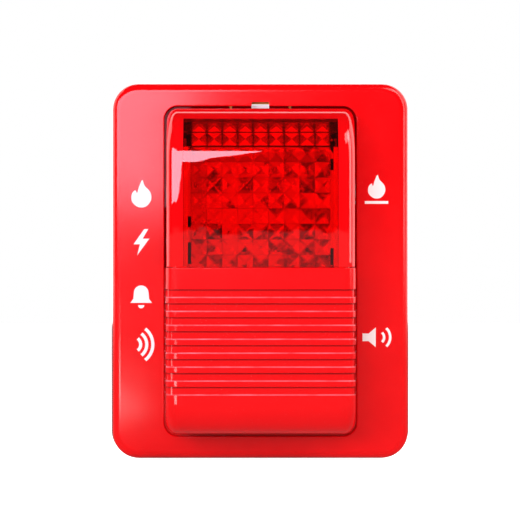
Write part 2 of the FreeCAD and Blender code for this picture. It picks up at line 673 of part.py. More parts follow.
def led_board():
    board = slab(LED_BOARD_WIDTH, LED_BOARD_HEIGHT, 1.5, LED_BOARD_BACK, LED_BOARD_FRONT, 0, LED_BOARD_Z)
    return board.cut([rod(x, z, SCREW_HOLE, 0, FAR) for x, z in light_board_posts()])


def strobe_leds():
    """Eight dome-ended light-emitting diodes in two rows."""
    top = LED_BOARD_FRONT + LED_STRAIGHT
    leds = []
    for x, z in led_places():
        body = rod(x, z, LED_RADIUS, LED_BOARD_FRONT + SEAT_GAP, top)
        dome = Part.makeSphere(LED_RADIUS, point(x, top, z)).common(rod(x, z, LED_RADIUS + 1, top, FAR))
        leds.append(body.fuse(dome).removeSplitter())
    return group(leds)


def led_spacers():
    """Hollow nylon spacers that carry the light board above the main board."""
    spacers = []
    for x, z in light_board_posts():
        tube = rod(x, z, SPACER_RADIUS, BOARD_FRONT + SEAT_GAP, LED_BOARD_BACK - SEAT_GAP)
        spacers.append(tube.cut(rod(x, z, SCREW_HOLE, BOARD_FRONT, LED_BOARD_BACK)))
    return group(spacers)


def led_screws():
    """Screws through the light board and its spacers into the tray's posts."""
    seat = LED_BOARD_FRONT + SEAT_GAP
    return group([front_screw(x, z, seat, TRAY_FRONT + 0.6) for x, z in light_board_posts()])


# ---- head: tray and electronics ------------------------------------------------------------------
def sounder_post_places():
    reach = (SOUNDER_RADIUS + 1.6) * math.sqrt(0.5)
    return [(x, SOUNDER_Z + z) for x, z in four_places(reach, reach)]


def cover_post_places():
    return [(-COVER_POST_X, COVER_POST_Z), (COVER_POST_X, COVER_POST_Z)]


def board_post_places():
    """Tray posts under the main board: for the light board, the sounder and the horn cover."""
    return light_board_posts() + sounder_post_places() + cover_post_places()


def tray_body():
    """The tray's plate with its ribs, its board posts and the wall that presses on the module's lips."""
    plate = slab(TRAY_WIDTH, TRAY_HEIGHT, TRAY_CORNER, TRAY_BACK, TRAY_FRONT)

    def ring(margin, corner, back, front):
        width, height = MODULE_WIDTH + 2 * margin, MODULE_HEIGHT + 2 * margin
        return slab(width, height, corner, back, front, z=MODULE_MIDDLE)

    wall = ring(2.2, 6.0, TRAY_FRONT, FLANGE_BACK - 0.1).cut(ring(0.3, 4.5, TRAY_FRONT - 1, FLANGE_BACK + 1))
    half, top = 0.7, TRAY_FRONT + TRAY_RIB
    ribs = [box(x - half, x + half, TRAY_FRONT, top, -50, 50) for x in (-46.0, 46.0)]
    ribs += [box(-40, 40, TRAY_FRONT, top, z - half, z + half) for z in (12.0, 40.0)]
    posts = [rod(x, z, POST_RADIUS, TRAY_FRONT - 0.5, BOARD_BACK - SEAT_GAP) for x, z in board_post_places()]
    return plate.multiFuse([wall] + ribs + posts)


def rear_tray():
    """Black rear cover of the head, with openings for the latch, the hinge, the studs and the switches."""
    latch_half, stud_hole = 5.6, 2.1
    recess_radius, recess_depth = 2.9, 1.1
    strike_reach = STRIKE_HALF_WIDTH + 0.4
    cuts = [box(-latch_half, latch_half, 0, FAR, LATCH_ARM[0] - 1.5, FAR)]
    cuts += [rod(x, z, SCREW_RADIUS, TRAY_FRONT - 0.9, BOARD_BACK + 1) for x, z in board_post_places()]
    cuts += [rod(x, z, SCREW_RADIUS + 0.15, 0, BOARD_BACK + 1) for x, z in cover_post_places()]
    for x, z in four_places(BOSS_X, BOSS_Z):
        cuts.append(rod(x, z, SCREW_RADIUS + 0.2, 0, FAR))
        cuts.append(rod(x, z, recess_radius, 0, TRAY_BACK + recess_depth))
    for side in (-1, 1):
        hinge = side * HINGE_X
        cuts.append(box(hinge - 7, hinge + 7, 0, FAR, -FAR, HINGE_Z + 5))
        pin = side * STRIKE_PIN_X
        cuts.append(box(pin - 1.2, pin + 1.2, TRAY_FRONT, FAR, MODULE_TOP, FAR))
    cuts.append(box(-strike_reach, strike_reach, TRAY_FRONT, FAR, STRIKE_Z - 0.3, FAR))
    cuts += [rod(x, CONTACT_Z, stud_hole, 0, FAR) for x in TERMINAL_XS]
    half_width, half_height = VOLUME_HALF[0] + 0.5, VOLUME_HALF[1] + 0.5
    cuts.append(switch_block(VOLUME_X, VOLUME_Z, half_width, half_height, 0, TRAY_FRONT + 1))
    cuts.append(switch_block(TONE_X, TONE_Z, TONE_HALF + 0.5, TONE_HALF + 0.5, 0, TRAY_FRONT + 1))
    return tray_body().cut(cuts).removeSplitter()


def main_board():
    board = slab(BOARD_WIDTH, BOARD_HEIGHT, 3.0, BOARD_BACK, BOARD_FRONT, 0, BOARD_Z)
    cuts = [rod(x, z, SCREW_HOLE + 0.1, 0, FAR) for x, z in board_post_places()]
    cuts += [rod(x, CONTACT_Z, STUD_STEM + 0.05, 0, FAR) for x in TERMINAL_XS]
    cuts.append(box(-6, 6, 0, FAR, LATCH_ARM[0] - 3, FAR))
    return board.cut(cuts)


def board_screws():
    """Two screws through the tray and the main board into the horn cover's posts."""
    height = 1.6
    back = TRAY_BACK - height - SEAT_GAP
    tip = BOARD_FRONT + 9
    return group([pan_screw(x, z, back, tip, PAN_HEAD_RADIUS, height) for x, z in cover_post_places()])


def contact_studs():
    """Four brass studs that carry power and signal from the base's fingers to the main board."""
    studs = []
    for x in TERMINAL_XS:
        head = rod(x, CONTACT_Z, STUD_RADIUS, STUD_BACK, STUD_BACK + 1.25)
        stem = rod(x, CONTACT_Z, STUD_STEM, STUD_BACK + 1.25, BOARD_FRONT + 0.8)
        collar = rod(x, CONTACT_Z, STUD_RADIUS, TRAY_FRONT + 0.1, BOARD_BACK - SEAT_GAP)
        studs.append(head.multiFuse([stem, collar]).removeSplitter())
    return group(studs)


def driver_chip(x, z, width, height):
    """Integrated circuit with two rows of leads."""
    pitch, half_lead = 1.25, 0.2
    body = slab(width, height, 0.3, BOARD_FRONT + 0.12, BOARD_FRONT + 1.6, x, z)
    count = max(3, int(width / pitch) - 1)
    leads = []
    for i in range(count):
        lead_x = x + (i - (count - 1) / 2) * pitch
        for side in (-1, 1):
            edge = z + side * height / 2
            z0, z1 = sorted((edge - side * 0.3, edge + side * 0.9))
            x0, x1 = lead_x - half_lead, lead_x + half_lead
            leads.append(box(x0, x1, BOARD_FRONT + SEAT_GAP, BOARD_FRONT + 0.4, z0, z1))
    return body.multiFuse(leads).removeSplitter()


def driver_chips():
    """Square and oblong integrated circuits on the main board."""
    return group([driver_chip(x, z, width, height) for x, z, width, height in CHIP_PLACES])


def storage_capacitors():
    """Three upright electrolytic capacitors with grooved cans."""
    base = BOARD_FRONT + SEAT_GAP
    cans = []
    for x, radius, height in CAPACITORS:
        groove = Part.makeTorus(radius + 0.1, 0.45, point(x, base + 1.8, POWER_ROW_Z), Vector(0, 1, 0))
        cans.append(rod(x, POWER_ROW_Z, radius, base, base + height).cut(groove))
    return group(cans)


def boost_transformer():
    """Step-up transformer that drives the sounder: a winding between the legs of its core."""
    half_length, half_height, leg = 6.5, 4.55, 2.9
    low, high = TRANSFORMER_Z - half_height, TRANSFORMER_Z + half_height
    back = BOARD_FRONT + SEAT_GAP
    foot, bridge, front = back + 1.8, back + 7.6, back + 9.6
    pieces = [
        box(-half_length, half_length, back, foot, low, high),
        box(-half_length, half_length, back + 0.8, front, low, low + leg),
        box(-half_length, half_length, back + 0.8, front, high - leg, high),
        box(-half_length, half_length, bridge, front, low, high),
        box(-half_length + 1.3, half_length - 1.3, foot, bridge, low + leg, high - leg),
    ]
    return pieces[0].multiFuse(pieces[1:]).removeSplitter()


def chip_resistors():
    """Small surface-mount resistors in two columns."""
    count, pitch, first_z = 6, 4.6, 14.0
    half_length, half_width = 1.6, 0.8
    resistors = []
    for i in range(count):
        z = first_z + i * pitch
        for x in (-24.5, 24.5):
            resistors.append(box(x - half_length, x + half_length, BOARD_FRONT + SEAT_GAP, BOARD_FRONT + 0.6,
                                 z - half_width, z + half_width))
    return group(resistors)


def board_header():
    """Plug-in pin strip between the main board and the light board."""
    pins, pitch, half_pin = 5, 2.54, 0.3
    half_strip, top = 1.2, BOARD_FRONT + 2.5
    half_length = pins * pitch / 2
    strip = box(-half_length, half_length, BOARD_FRONT + SEAT_GAP, top, HEADER_Z - half_strip,
                HEADER_Z + half_strip)
    posts = []
    for i in range(pins):
        x = (i - (pins - 1) / 2) * pitch
        posts.append(box(x - half_pin, x + half_pin, top, LED_BOARD_BACK - SEAT_GAP, HEADER_Z - half_pin,
                         HEADER_Z + half_pin))
    return strip.multiFuse(posts)


def switch_block(x, z, half_width, half_height, back, front):
    return box(x - half_width, x + half_width, back, front, z - half_height, z + half_height)


def volume_switch():
    """Slide switch body; its lever shows through the tray."""
    body = switch_block(VOLUME_X, VOLUME_Z, *VOLUME_HALF, SWITCH_BACK, BOARD_BACK - SEAT_GAP)
    half_height = LEVER_HALF_HEIGHT + 0.15
    return body.cut(switch_block(VOLUME_X, VOLUME_Z, 2.7, half_height, SWITCH_BACK - 1, LEVER_FRONT + 0.2))


def volume_slider():
    """Lever of the volume switch, in its loud position."""
    x0, x1 = VOLUME_X - 2.5, VOLUME_X - 0.5
    middle, half_grip = (x0 + x1) / 2, 0.2
    lever = box(x0, x1, LEVER_BACK, LEVER_FRONT, VOLUME_Z - LEVER_HALF_HEIGHT, VOLUME_Z + LEVER_HALF_HEIGHT)
    grip = box(middle - half_grip, middle + half_grip, LEVER_BACK - 1, LEVER_BACK + 0.4, VOLUME_Z - 1,
               VOLUME_Z + 1)
    return lever.cut(grip)


def tone_switch():
    """Rotary switch body."""
    body = switch_block(TONE_X, TONE_Z, TONE_HALF, TONE_HALF, SWITCH_BACK, BOARD_BACK - SEAT_GAP)
    return body.cut(rod(TONE_X, TONE_Z, ROTOR_RADIUS + 0.05, SWITCH_BACK - 1, ROTOR_FRONT + 0.1))


def tone_selector():
    """Rotor of the tone switch, with a screwdriver slot that widens to a pointer at one end."""
    reach, half_slot, half_pointer = 2.1, 0.4, 0.75
    back, floor = ROTOR_BACK - 1, ROTOR_BACK + 0.8
    rotor = rod(TONE_X, TONE_Z, ROTOR_RADIUS, ROTOR_BACK, ROTOR_FRONT)
    slot = box(TONE_X - reach, TONE_X + reach, back, floor, TONE_Z - half_slot, TONE_Z + half_slot)
    pointer = box(TONE_X + reach - 1.2, TONE_X + reach + 0.2, back, floor, TONE_Z - half_pointer,
                  TONE_Z + half_pointer)
    return rotor.cut(slot.fuse(pointer))


# ---- head: sounder -------------------------------------------------------------------------------
def sounder_rod(radius, back, front):
    """Round bar on the sounder's axis."""
    return rod(0, SOUNDER_Z, radius, back, front)


def sounder_body():
    """Round cup on four posts; it holds the piezo disc on a ledge and closes its rear chamber."""
    posts = [rod(x, z, SOUNDER_POST, BOARD_FRONT + 0.1, SOUNDER_FRONT) for x, z in sounder_post_places()]
    cup = sounder_rod(SOUNDER_RADIUS, SOUNDER_BACK, SOUNDER_FRONT).multiFuse(posts)
    chamber = sounder_rod(SOUNDER_RADIUS - PIEZO_SEAT - 1.4, SOUNDER_BACK + 1.6, PIEZO_DEPTH)
    seat = sounder_rod(SOUNDER_RADIUS - PIEZO_SEAT, PIEZO_DEPTH, SOUNDER_FRONT + 1)
    screw_holes = [rod(x, z, SCREW_HOLE, 0, FAR) for x, z in sounder_post_places()]
    hole_start = point(-SOUNDER_RADIUS + 7, LEAD_HOLE_DEPTH, SOUNDER_Z)
    lead_hole = Part.makeCylinder(LEAD_HOLE_RADIUS, 8, hole_start, Vector(-1, 0, 0))
    return cup.cut([chamber, seat, lead_hole] + screw_holes).removeSplitter()


def piezo_disc():
    """Brass disc of the sounder."""
    return sounder_rod(PIEZO_RADIUS, PIEZO_DEPTH, PIEZO_DEPTH + PIEZO_THICKNESS)


def piezo_ceramic():
    """Ceramic wafer on the rear of the disc, with its silver electrode."""
    front = PIEZO_DEPTH - SEAT_GAP
    return sounder_rod(CERAMIC_RADIUS, front - CERAMIC_THICKNESS, front)


def sounder_cap():
    """Front cap: its ring clamps the disc, and its throat leads the sound to the duct."""
    back = SOUNDER_FRONT + 0.05
    ring = sounder_rod(PIEZO_RADIUS, PIEZO_DEPTH + PIEZO_THICKNESS + SEAT_GAP, SOUNDER_FRONT + 0.3)
    top = sounder_rod(SOUNDER_RADIUS, back, CAP_SEAT)
    ears = [rod(x, z, SOUNDER_POST, back, CAP_SEAT) for x, z in sounder_post_places()]
    cone = Part.makeCone(2 * THROAT_RADIUS, THROAT_RADIUS + 2, CAP_FRONT - CAP_SEAT,
                         point(0, CAP_SEAT, SOUNDER_Z), Vector(0, -1, 0))
    cuts = [sounder_rod(SOUNDER_RADIUS - 4.0, PIEZO_DEPTH, SOUNDER_FRONT + 0.6),
            sounder_rod(THROAT_RADIUS, SOUNDER_FRONT, CAP_FRONT + 1)]
    cuts += [rod(x, z, SCREW_HOLE, SOUNDER_FRONT - 1, CAP_SEAT + 1) for x, z in sounder_post_places()]
    return ring.multiFuse([top, cone] + ears).cut(cuts).removeSplitter()


def sounder_screws():
    """Four long screws through the cap, the cup and the main board into the tray's posts."""
    seat = CAP_SEAT + SEAT_GAP
    return group([front_screw(x, z, seat, TRAY_FRONT + 0.6) for x, z in sounder_post_places()])


def duct_flare(inset, low):
    """Flat wedge that widens downwards."""
    back, front = CAP_FRONT + CLEARANCE + inset, DUCT_FRONT - inset
    top, half_top, half_bottom = DUCT_TOP - inset, DUCT_HALF_TOP - inset, DUCT_HALF_BOTTOM - inset
    corners = [point(-half_top, back, top), point(half_top, back, top),
               point(half_bottom, back, low), point(-half_bottom, back, low)]
    return Part.Face(Part.makePolygon(corners + corners[:1])).extrude(Vector(0, back - front, 0))


def horn_duct():
    """Flat flared duct that turns the sound down towards the outlets."""
    duct = duct_flare(0, DUCT_LOW).cut(duct_flare(DUCT_WALL, DUCT_LOW - 1.5))
    return duct.cut(sounder_rod(THROAT_RADIUS + 0.4, CAP_SEAT, DUCT_FRONT - DUCT_WALL - 1))


def outlet_mesh():
    """Fine dust mesh laid over the outlets, inside the horn cover."""
    thickness, half = 0.32, 25.5
    low = MODULE_BOTTOM + MODULE_WALL + 0.03
    return box(-half, half, OUTLET_BACK - 1.5, OUTLET_FRONT + 0.8, low, low + thickness)


def sounder_leads():
    """Two insulated wires from the main board through the cup's lead hole."""
    radius, half_spacing = 0.6, 0.85
    board_x = -28.6
    leads = []
    for side in (-1, 1):
        z = SOUNDER_Z + side * half_spacing
        path = [point(board_x, BOARD_FRONT + 0.1, z), point(board_x, SOUNDER_BACK - 0.5, z),
                point(board_x + 2, LEAD_HOLE_DEPTH - 0.6, z), point(board_x + 8, LEAD_HOLE_DEPTH, z)]
        curve = Part.BSplineCurve()
        curve.interpolate(Points=path, InitialTangent=point(0, 3, 0), FinalTangent=point(4, 0, 0))
        start = Part.Wire(Part.makeCircle(radius, path[0], Vector(0, -1, 0)))
        leads.append(Part.Wire(curve.toShape()).makePipeShell([start], True, False))
    return group(leads)


# ---- head: small parts ---------------------------------------------------------------------------
def frame_screws():
    """Four screws that clamp the tray, and so the whole module, to the frame."""
    back, tip = TRAY_BACK - 0.9, FRAME_INSIDE - 1.6
    radius, height = PAN_HEAD_RADIUS + 0.1, 1.98
    return group([pan_screw(x, z, back, tip, radius, height) for x, z in four_places(BOSS_X, BOSS_Z)])


def strike_plate():
    """Bronze strip behind the release window, with two pins in the gap above the lens.

    The raised latch stands in front of the strip.
    """
    strip = box(-STRIKE_HALF_WIDTH, STRIKE_HALF_WIDTH, STRIKE_BACK, STRIKE_FRONT, STRIKE_Z, STRIKE_TOP)
    strip = strip.cut([rod(side * STAKE_X, STAKE_Z, STAKE_RADIUS + 0.05, 0, FAR) for side in (-1, 1)])
    adds = []
    for side in (-1, 1):
        x = side * STRIKE_PIN_X
        half = STRIKE_PIN_RADIUS
        adds.append(box(x - half, x + half, STRIKE_BACK, STRIKE_FRONT, STRIKE_PIN_Z, STRIKE_Z + 0.5))
        adds.append(rod(x, STRIKE_PIN_Z, half, STRIKE_BACK, STRIKE_PIN_FRONT))
    return strip.multiFuse(adds).removeSplitter()


# ---- base ----------------------------------------------------------------------------------------
def hinge_lug(x):
    """Plate that stands out from the base's lower edge and carries one end of a hinge pin."""
    half = LUG_WIDTH / 2
    top = HINGE_Z + 7
    outline = [(0, top), (0, HINGE_Z + 0.6), (HINGE_DEPTH, HINGE_Z - 2.8), (HINGE_DEPTH + 2.8, HINGE_Z),
               (BASE_RIM, top)]
    return [side_profile(outline, x - half, x + half),
            bar(x - half, x + half, HINGE_DEPTH, HINGE_Z, HINGE_EYE_RADIUS)]


def latch_guides():
    """Two rails with lips that hold the latch, and the stop under its spring."""
    root = BASE_PLATE - 0.5
    pieces = [box(-4.0, 4.0, root, 7.0, SPRING_LOW - 2.55, SPRING_LOW - 0.35)]
    for side in (-1, 1):
        x0, x1 = sorted((side * (SLIDE_HALF_WIDTH + 0.2), side * GUIDE_OUTSIDE))
        pieces.append(box(x0, x1, root, GUIDE_FRONT, GUIDE_LOW, GUIDE_HIGH))
        x0, x1 = sorted((side * (LATCH_HALF_WIDTH + 0.9), side * GUIDE_OUTSIDE))
        pieces.append(box(x0, x1, SLIDE_FRONT + CLEARANCE, GUIDE_FRONT, GUIDE_LOW, GUIDE_HIGH - 2))
    return pieces


def base_ribs():
    """Long ribs beside the rim and short ones between them and the cable hole."""
    root, half = BASE_PLATE - 0.5, 0.7
    rib_x, rib_z = 43.0, 20.0
    ribs = [box(x - half, x + half, root, 4.6, -55, 55) for x in (-rib_x, rib_x)]
    for z in (-rib_z, rib_z):
        ribs.append(box(-rib_x, -16, root, 4.2, z - half, z + half))
        ribs.append(box(16, rib_x, root, 4.2, z - half, z + half))
    return ribs


def wall_base():
    """White mounting base: wall slots, cable hole, hinge lugs and latch guides."""
    width, height = BASE_WIDTH - 2 * BASE_RIM_WALL, BASE_HEIGHT - 2 * BASE_RIM_WALL
    inside = slab(width, height, BASE_CORNER - BASE_RIM_WALL, BASE_PLATE, BASE_RIM + 1)
    base = slab(BASE_WIDTH, BASE_HEIGHT, BASE_CORNER, 0, BASE_RIM).cut(inside)
    adds = [rod(0, 0, CABLE_HOLE_RADIUS + 1.6, BASE_PLATE - 0.5, 5.0)] + latch_guides() + base_ribs()
    cuts = [rod(0, 0, CABLE_HOLE_RADIUS, -1, BASE_RIM + 1),
            box(-SLIDE_HALF_WIDTH - 0.2, SLIDE_HALF_WIDTH + 0.2, BASE_PLATE, FAR, GUIDE_HIGH - 0.1, FAR)]
    for side in (-1, 1):
        place = side * WALL_SLOT_SPACING / 2
        cuts.append(stadium(place, 0, WALL_SLOT_LENGTH, WALL_SLOT_RADIUS, -1, BASE_RIM, True))
        cuts.append(stadium(0, place, WALL_SLOT_LENGTH, WALL_SLOT_RADIUS, -1, BASE_RIM, False))
        hinge = side * HINGE_X
        adds += hinge_lug(hinge - LUG_OFFSET) + hinge_lug(hinge + LUG_OFFSET)
        cuts.append(bar(hinge - 6, hinge + 6, HINGE_DEPTH, HINGE_Z, HINGE_PIN_RADIUS + 0.01))
    return base.multiFuse(adds).cut(cuts).removeSplitter()


def hinge_pins():
    """Two steel pins on which the head's hooks hang."""
    half = LUG_OFFSET + LUG_WIDTH / 2
    ends = [(x - half, x + half) for x in (-HINGE_X, HINGE_X)]
    return group([bar(x0, x1, HINGE_DEPTH, HINGE_Z, HINGE_PIN_RADIUS) for x0, x1 in ends])


def release_latch():
    """White sliding latch, pressed down; its spring raises it 2 mm to hook in front of the strike plate."""
    half, (low, high), (hook_back, hook_front) = LATCH_HALF_WIDTH, LATCH_ARM, LATCH_HOOK
    slide = box(-SLIDE_HALF_WIDTH, SLIDE_HALF_WIDTH, BASE_PLATE + 0.1, SLIDE_FRONT, SLIDE_LOW, high)
    arm = box(-half, half, SLIDE_FRONT - 0.6, hook_front, low, high)
    hook = box(-half, half, hook_back, hook_front, low, LATCH_TOP)
    pad = box(-half, half, hook_front, LATCH_PAD_FRONT, LATCH_PAD_LOW, LATCH_TOP)
    brace = [(SLIDE_FRONT - 0.1, low + 0.1), (SLIDE_FRONT + 4.9, low + 0.1), (SLIDE_FRONT - 0.1, low - 6.5)]
    web = side_profile(brace, -0.8, 0.8)
    peg = Part.makeCylinder(1.1, 2.0, point(0, SPRING_DEPTH, SLIDE_LOW - 1.8), Vector(0, 0, 1))
    return slide.multiFuse([arm, hook, pad, web, peg]).removeSplitter()


def latch_spring():
    """Coil spring that pushes the latch up."""
    length = SPRING_HIGH - SPRING_LOW
    helix = Part.makeHelix(length / SPRING_TURNS, length, SPRING_RADIUS)
    circle = Part.Wire(Part.makeCircle(SPRING_WIRE, Vector(SPRING_RADIUS, 0, 0), Vector(0, 1, 0)))
    coil = Part.Wire(helix).makePipeShell([circle], True, True)
    coil.translate(point(0, SPRING_DEPTH, SPRING_LOW))
    return coil


def terminal_block():
    """Moulded housing with four wire entries, cage wells and captive screws."""
    low, high = TERMINAL_Z - TERMINAL_HALF_HEIGHT, TERMINAL_Z + TERMINAL_HALF_HEIGHT
    half = TERMINAL_HALF_WIDTH
    block = box(-half, half, BASE_PLATE + SEAT_GAP, TERMINAL_FRONT, low, high)
    well, bar_half = CAGE_HALF_WIDTH + 0.25, CONTACT_HALF_WIDTH + 0.05
    z, head_hole = TERMINAL_SCREW_Z, TERMINAL_HEAD_RADIUS + 0.2
    cuts = []
    for x in TERMINAL_XS:
        cuts.append(box(x - well, x + well, BASE_PLATE + 0.6, TERMINAL_SHELF_BACK, low + 3.0, high + 1))
        cuts.append(rod(x, z, head_hole, TERMINAL_SHELF_FRONT, TERMINAL_FRONT + 1))
        cuts.append(rod(x, z, TERMINAL_THREAD + 0.1, TERMINAL_SHELF_BACK - 1, TERMINAL_FRONT))
        cuts.append(box(x - bar_half, x + bar_half, CONTACT_BAR_BACK - 0.05, CONTACT_BAR_FRONT + 0.05,
                        low - 1, low + 4))
    half_groove = 0.5
    for left, right in zip(TERMINAL_XS, TERMINAL_XS[1:]):
        x = (left + right) / 2
        cuts.append(box(x - half_groove, x + half_groove, TERMINAL_SHELF_FRONT, TERMINAL_FRONT + 1,
                        low - 1, high + 1))
    return block.cut(cuts).removeSplitter()


def terminal_screw(x):
    """Captive clamp screw of one terminal; it turns in place."""
    z, half_slot = TERMINAL_SCREW_Z, 0.35
    seat = TERMINAL_SHELF_FRONT + 0.03
    head = rod(x, z, TERMINAL_HEAD_RADIUS, seat, TERMINAL_FRONT - 0.1)
    slot = box(x - FAR, x + FAR, TERMINAL_FRONT - 0.75, TERMINAL_FRONT + 1, z - half_slot, z + half_slot)
    return head.cut(slot).fuse(rod(x, z, TERMINAL_THREAD, CONTACT_BAR_FRONT + 0.2, seat)).removeSplitter()


def terminal_clamp(x):
    """Steel cage of one terminal, fully open; its screw draws it towards the contact bar."""
    z = TERMINAL_SCREW_Z
    half, half_height = CAGE_HALF_WIDTH, 2.6
    inside = half - CAGE_WALL
    cage = box(x - half, x + half, CAGE_BACK, CAGE_FRONT, z - half_height, z + half_height)
    window = box(x - inside, x + inside, CAGE_BACK + 0.6, CAGE_FRONT - 0.8, z - half_height - 1,
                 z + half_height + 1)
    return cage.cut([window, rod(x, z, TERMINAL_THREAD + 0.07, CAGE_FRONT - 1.8, CAGE_FRONT + 1)])


def contact_fingers():
    """Four bronze bars from the cages, each ending in a leaf spring that meets a stud of the head."""
    bar_depth = (CONTACT_BAR_BACK + CONTACT_BAR_FRONT) / 2
    rest_depth = BASE_PLATE + 0.9
    path = [
        (bar_depth, TERMINAL_SCREW_Z + 2.4),
        (bar_depth, CONTACT_Z + 4.6),
        (rest_depth, CONTACT_Z + 2.8),
        (rest_depth, CONTACT_Z - 1.6),
        (rest_depth + 1.3, CONTACT_Z - 3.0),
        (rest_depth + 4.1, CONTACT_Z - 2.6),
        (STUD_BACK - 0.35, CONTACT_Z),
        (STUD_BACK - 1.25, CONTACT_Z + 2.1),
    ]
    thickness = CONTACT_BAR_FRONT - CONTACT_BAR_BACK
    half = CONTACT_HALF_WIDTH
    return group([bent_strip(path, thickness, x - half, x + half) for x in TERMINAL_XS])


# ---- output --------------------------------------------------------------------------------------
def build_all():
    parts = {
        "front_frame": front_frame(),
        "horn_cover": horn_cover(),
        "strobe_lens": strobe_lens(),
        "prism_lens": prism_lens(),
        "reflector": reflector(),
        "led_board": led_board(),
        "strobe_leds": strobe_leds(),
        "led_spacers": led_spacers(),
        "led_screws": led_screws(),
        "rear_tray": rear_tray(),
        "main_board": main_board(),
        "board_screws": board_screws(),
        "contact_studs": contact_studs(),
        "driver_chips": driver_chips(),
        "storage_capacitors": storage_capacitors(),
        "boost_transformer": boost_transformer(),
        "chip_resistors": chip_resistors(),
        "board_header": board_header(),
        "volume_switch": volume_switch(),
        "volume_slider": volume_slider(),
        "tone_switch": tone_switch(),
        "tone_selector": tone_selector(),
        "sounder_body": sounder_body(),
        "piezo_disc": piezo_disc(),
        "piezo_ceramic": piezo_ceramic(),
        "sounder_cap": sounder_cap(),
        "sounder_screws": sounder_screws(),
        "horn_duct": horn_duct(),
        "outlet_mesh": outlet_mesh(),
        "sounder_leads": sounder_leads(),
        "frame_screws": frame_screws(),
        "strike_plate": strike_plate(),
        "wall_base": wall_base(),
        "hinge_pins": hinge_pins(),
        "release_latch": release_latch(),
        "latch_spring": latch_spring(),
        "terminal_block": terminal_block(),
        "contact_fingers": contact_fingers(),
    }
    for number, x in enumerate(TERMINAL_XS, start=1):
        parts[f"terminal_screw_{number}"] = terminal_screw(x)
        parts[f"terminal_clamp_{number}"] = terminal_clamp(x)
    return parts


os.makedirs("parts", exist_ok=True)
for name, shape in build_all().items():
    shape.exportStep(f"parts/{name}.step")
    verdict = "" if shape.isValid() else "INVALID"
    print(name, len(shape.Solids), "solids", round(shape.Volume, 1), "mm3", verdict)
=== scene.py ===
"""Looks, light and camera for the horn strobe, in the part's own frame: +X right, +Y into the wall, +Z up.
Camera, lights and table are given in metres, and everything on the part in millimetres."""

import bpy
import math
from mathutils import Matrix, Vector


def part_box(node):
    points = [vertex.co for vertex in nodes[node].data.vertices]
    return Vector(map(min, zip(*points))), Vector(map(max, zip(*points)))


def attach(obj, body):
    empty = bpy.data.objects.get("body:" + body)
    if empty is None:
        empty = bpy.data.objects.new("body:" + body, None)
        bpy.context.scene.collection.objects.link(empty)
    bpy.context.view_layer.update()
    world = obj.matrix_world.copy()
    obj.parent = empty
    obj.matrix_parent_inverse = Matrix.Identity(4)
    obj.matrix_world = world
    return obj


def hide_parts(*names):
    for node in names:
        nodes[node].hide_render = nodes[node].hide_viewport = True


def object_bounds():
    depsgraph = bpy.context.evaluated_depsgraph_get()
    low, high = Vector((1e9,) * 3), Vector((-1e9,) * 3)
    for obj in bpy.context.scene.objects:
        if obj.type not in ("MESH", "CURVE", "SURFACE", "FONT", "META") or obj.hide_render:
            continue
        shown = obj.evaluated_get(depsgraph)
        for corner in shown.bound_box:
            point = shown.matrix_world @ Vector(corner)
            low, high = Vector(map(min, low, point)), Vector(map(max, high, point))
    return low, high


MM = 0.001
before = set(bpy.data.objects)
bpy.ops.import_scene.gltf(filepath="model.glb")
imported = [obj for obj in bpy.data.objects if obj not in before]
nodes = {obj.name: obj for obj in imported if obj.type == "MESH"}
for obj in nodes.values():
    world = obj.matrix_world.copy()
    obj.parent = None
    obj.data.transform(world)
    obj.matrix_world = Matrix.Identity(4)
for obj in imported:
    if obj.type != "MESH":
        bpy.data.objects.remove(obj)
cad_low, cad_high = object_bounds()


# ---- node trees -----------------------------------------------------------------------------------
def add(tree, kind, inputs=None, **settings):
    """One node. inputs maps a socket's name or number to a value or to another node's output."""
    made = tree.nodes.new(kind)
    for key, value in settings.items():
        setattr(made, key, value)
    for key, value in (inputs or {}).items():
        if isinstance(value, bpy.types.NodeSocket):
            tree.links.new(value, made.inputs[key])
        else:
            made.inputs[key].default_value = value
    return made


def place(tree, stretch=(1, 1, 1)):
    """The piece's own coordinates in millimetres, stretched."""
    coordinates = add(tree, "ShaderNodeTexCoord").outputs["Object"]
    scale = [s / MM for s in stretch]
    return add(tree, "ShaderNodeMapping", {"Vector": coordinates, "Scale": scale}).outputs[0]


def coordinate(tree, axis):
    """The piece's own X, Y or Z in millimetres."""
    return add(tree, "ShaderNodeSeparateXYZ", {0: place(tree)}).outputs[axis]


def noise(tree, size, detail=2.0, stretch=(1, 1, 1)):
    """Noise between 0 and 1 whose features are about size millimetres across."""
    inputs = {"Vector": place(tree, stretch), "Scale": 1 / size, "Detail": detail}
    return add(tree, "ShaderNodeTexNoise", inputs).outputs[0]


def ramp(tree, value, low, high, to_low=0.0, to_high=1.0):
    """Maps low..high to to_low..to_high and holds the ends."""
    inputs = {"Value": value, "From Min": low, "From Max": high, "To Min": to_low, "To Max": to_high}
    return add(tree, "ShaderNodeMapRange", inputs).outputs[0]


def math_node(tree, operation, a, b=0.0):
    return add(tree, "ShaderNodeMath", {0: a, 1: b}, operation=operation).outputs[0]


def times(tree, *factors):
    """Product; of masks, where all of them hold."""
    result = factors[0]
    for factor in factors[1:]:
        result = math_node(tree, "MULTIPLY", result, factor)
    return result


def either(tree, *masks):
    """Where at least one of the masks holds."""
    result = masks[0]
    for mask in masks[1:]:
        result = math_node(tree, "MAXIMUM", result, mask)
    return result


def size_of(tree, value):
    return math_node(tree, "ABSOLUTE", value)


def above(tree, value, limit, softness=0.1):
    """1 where value is over limit."""
    return ramp(tree, value, limit - softness / 2, limit + softness / 2)


def below(tree, value, limit, softness=0.1):
    """1 where value is under limit."""
    return ramp(tree, value, limit - softness / 2, limit + softness / 2, 1.0, 0.0)


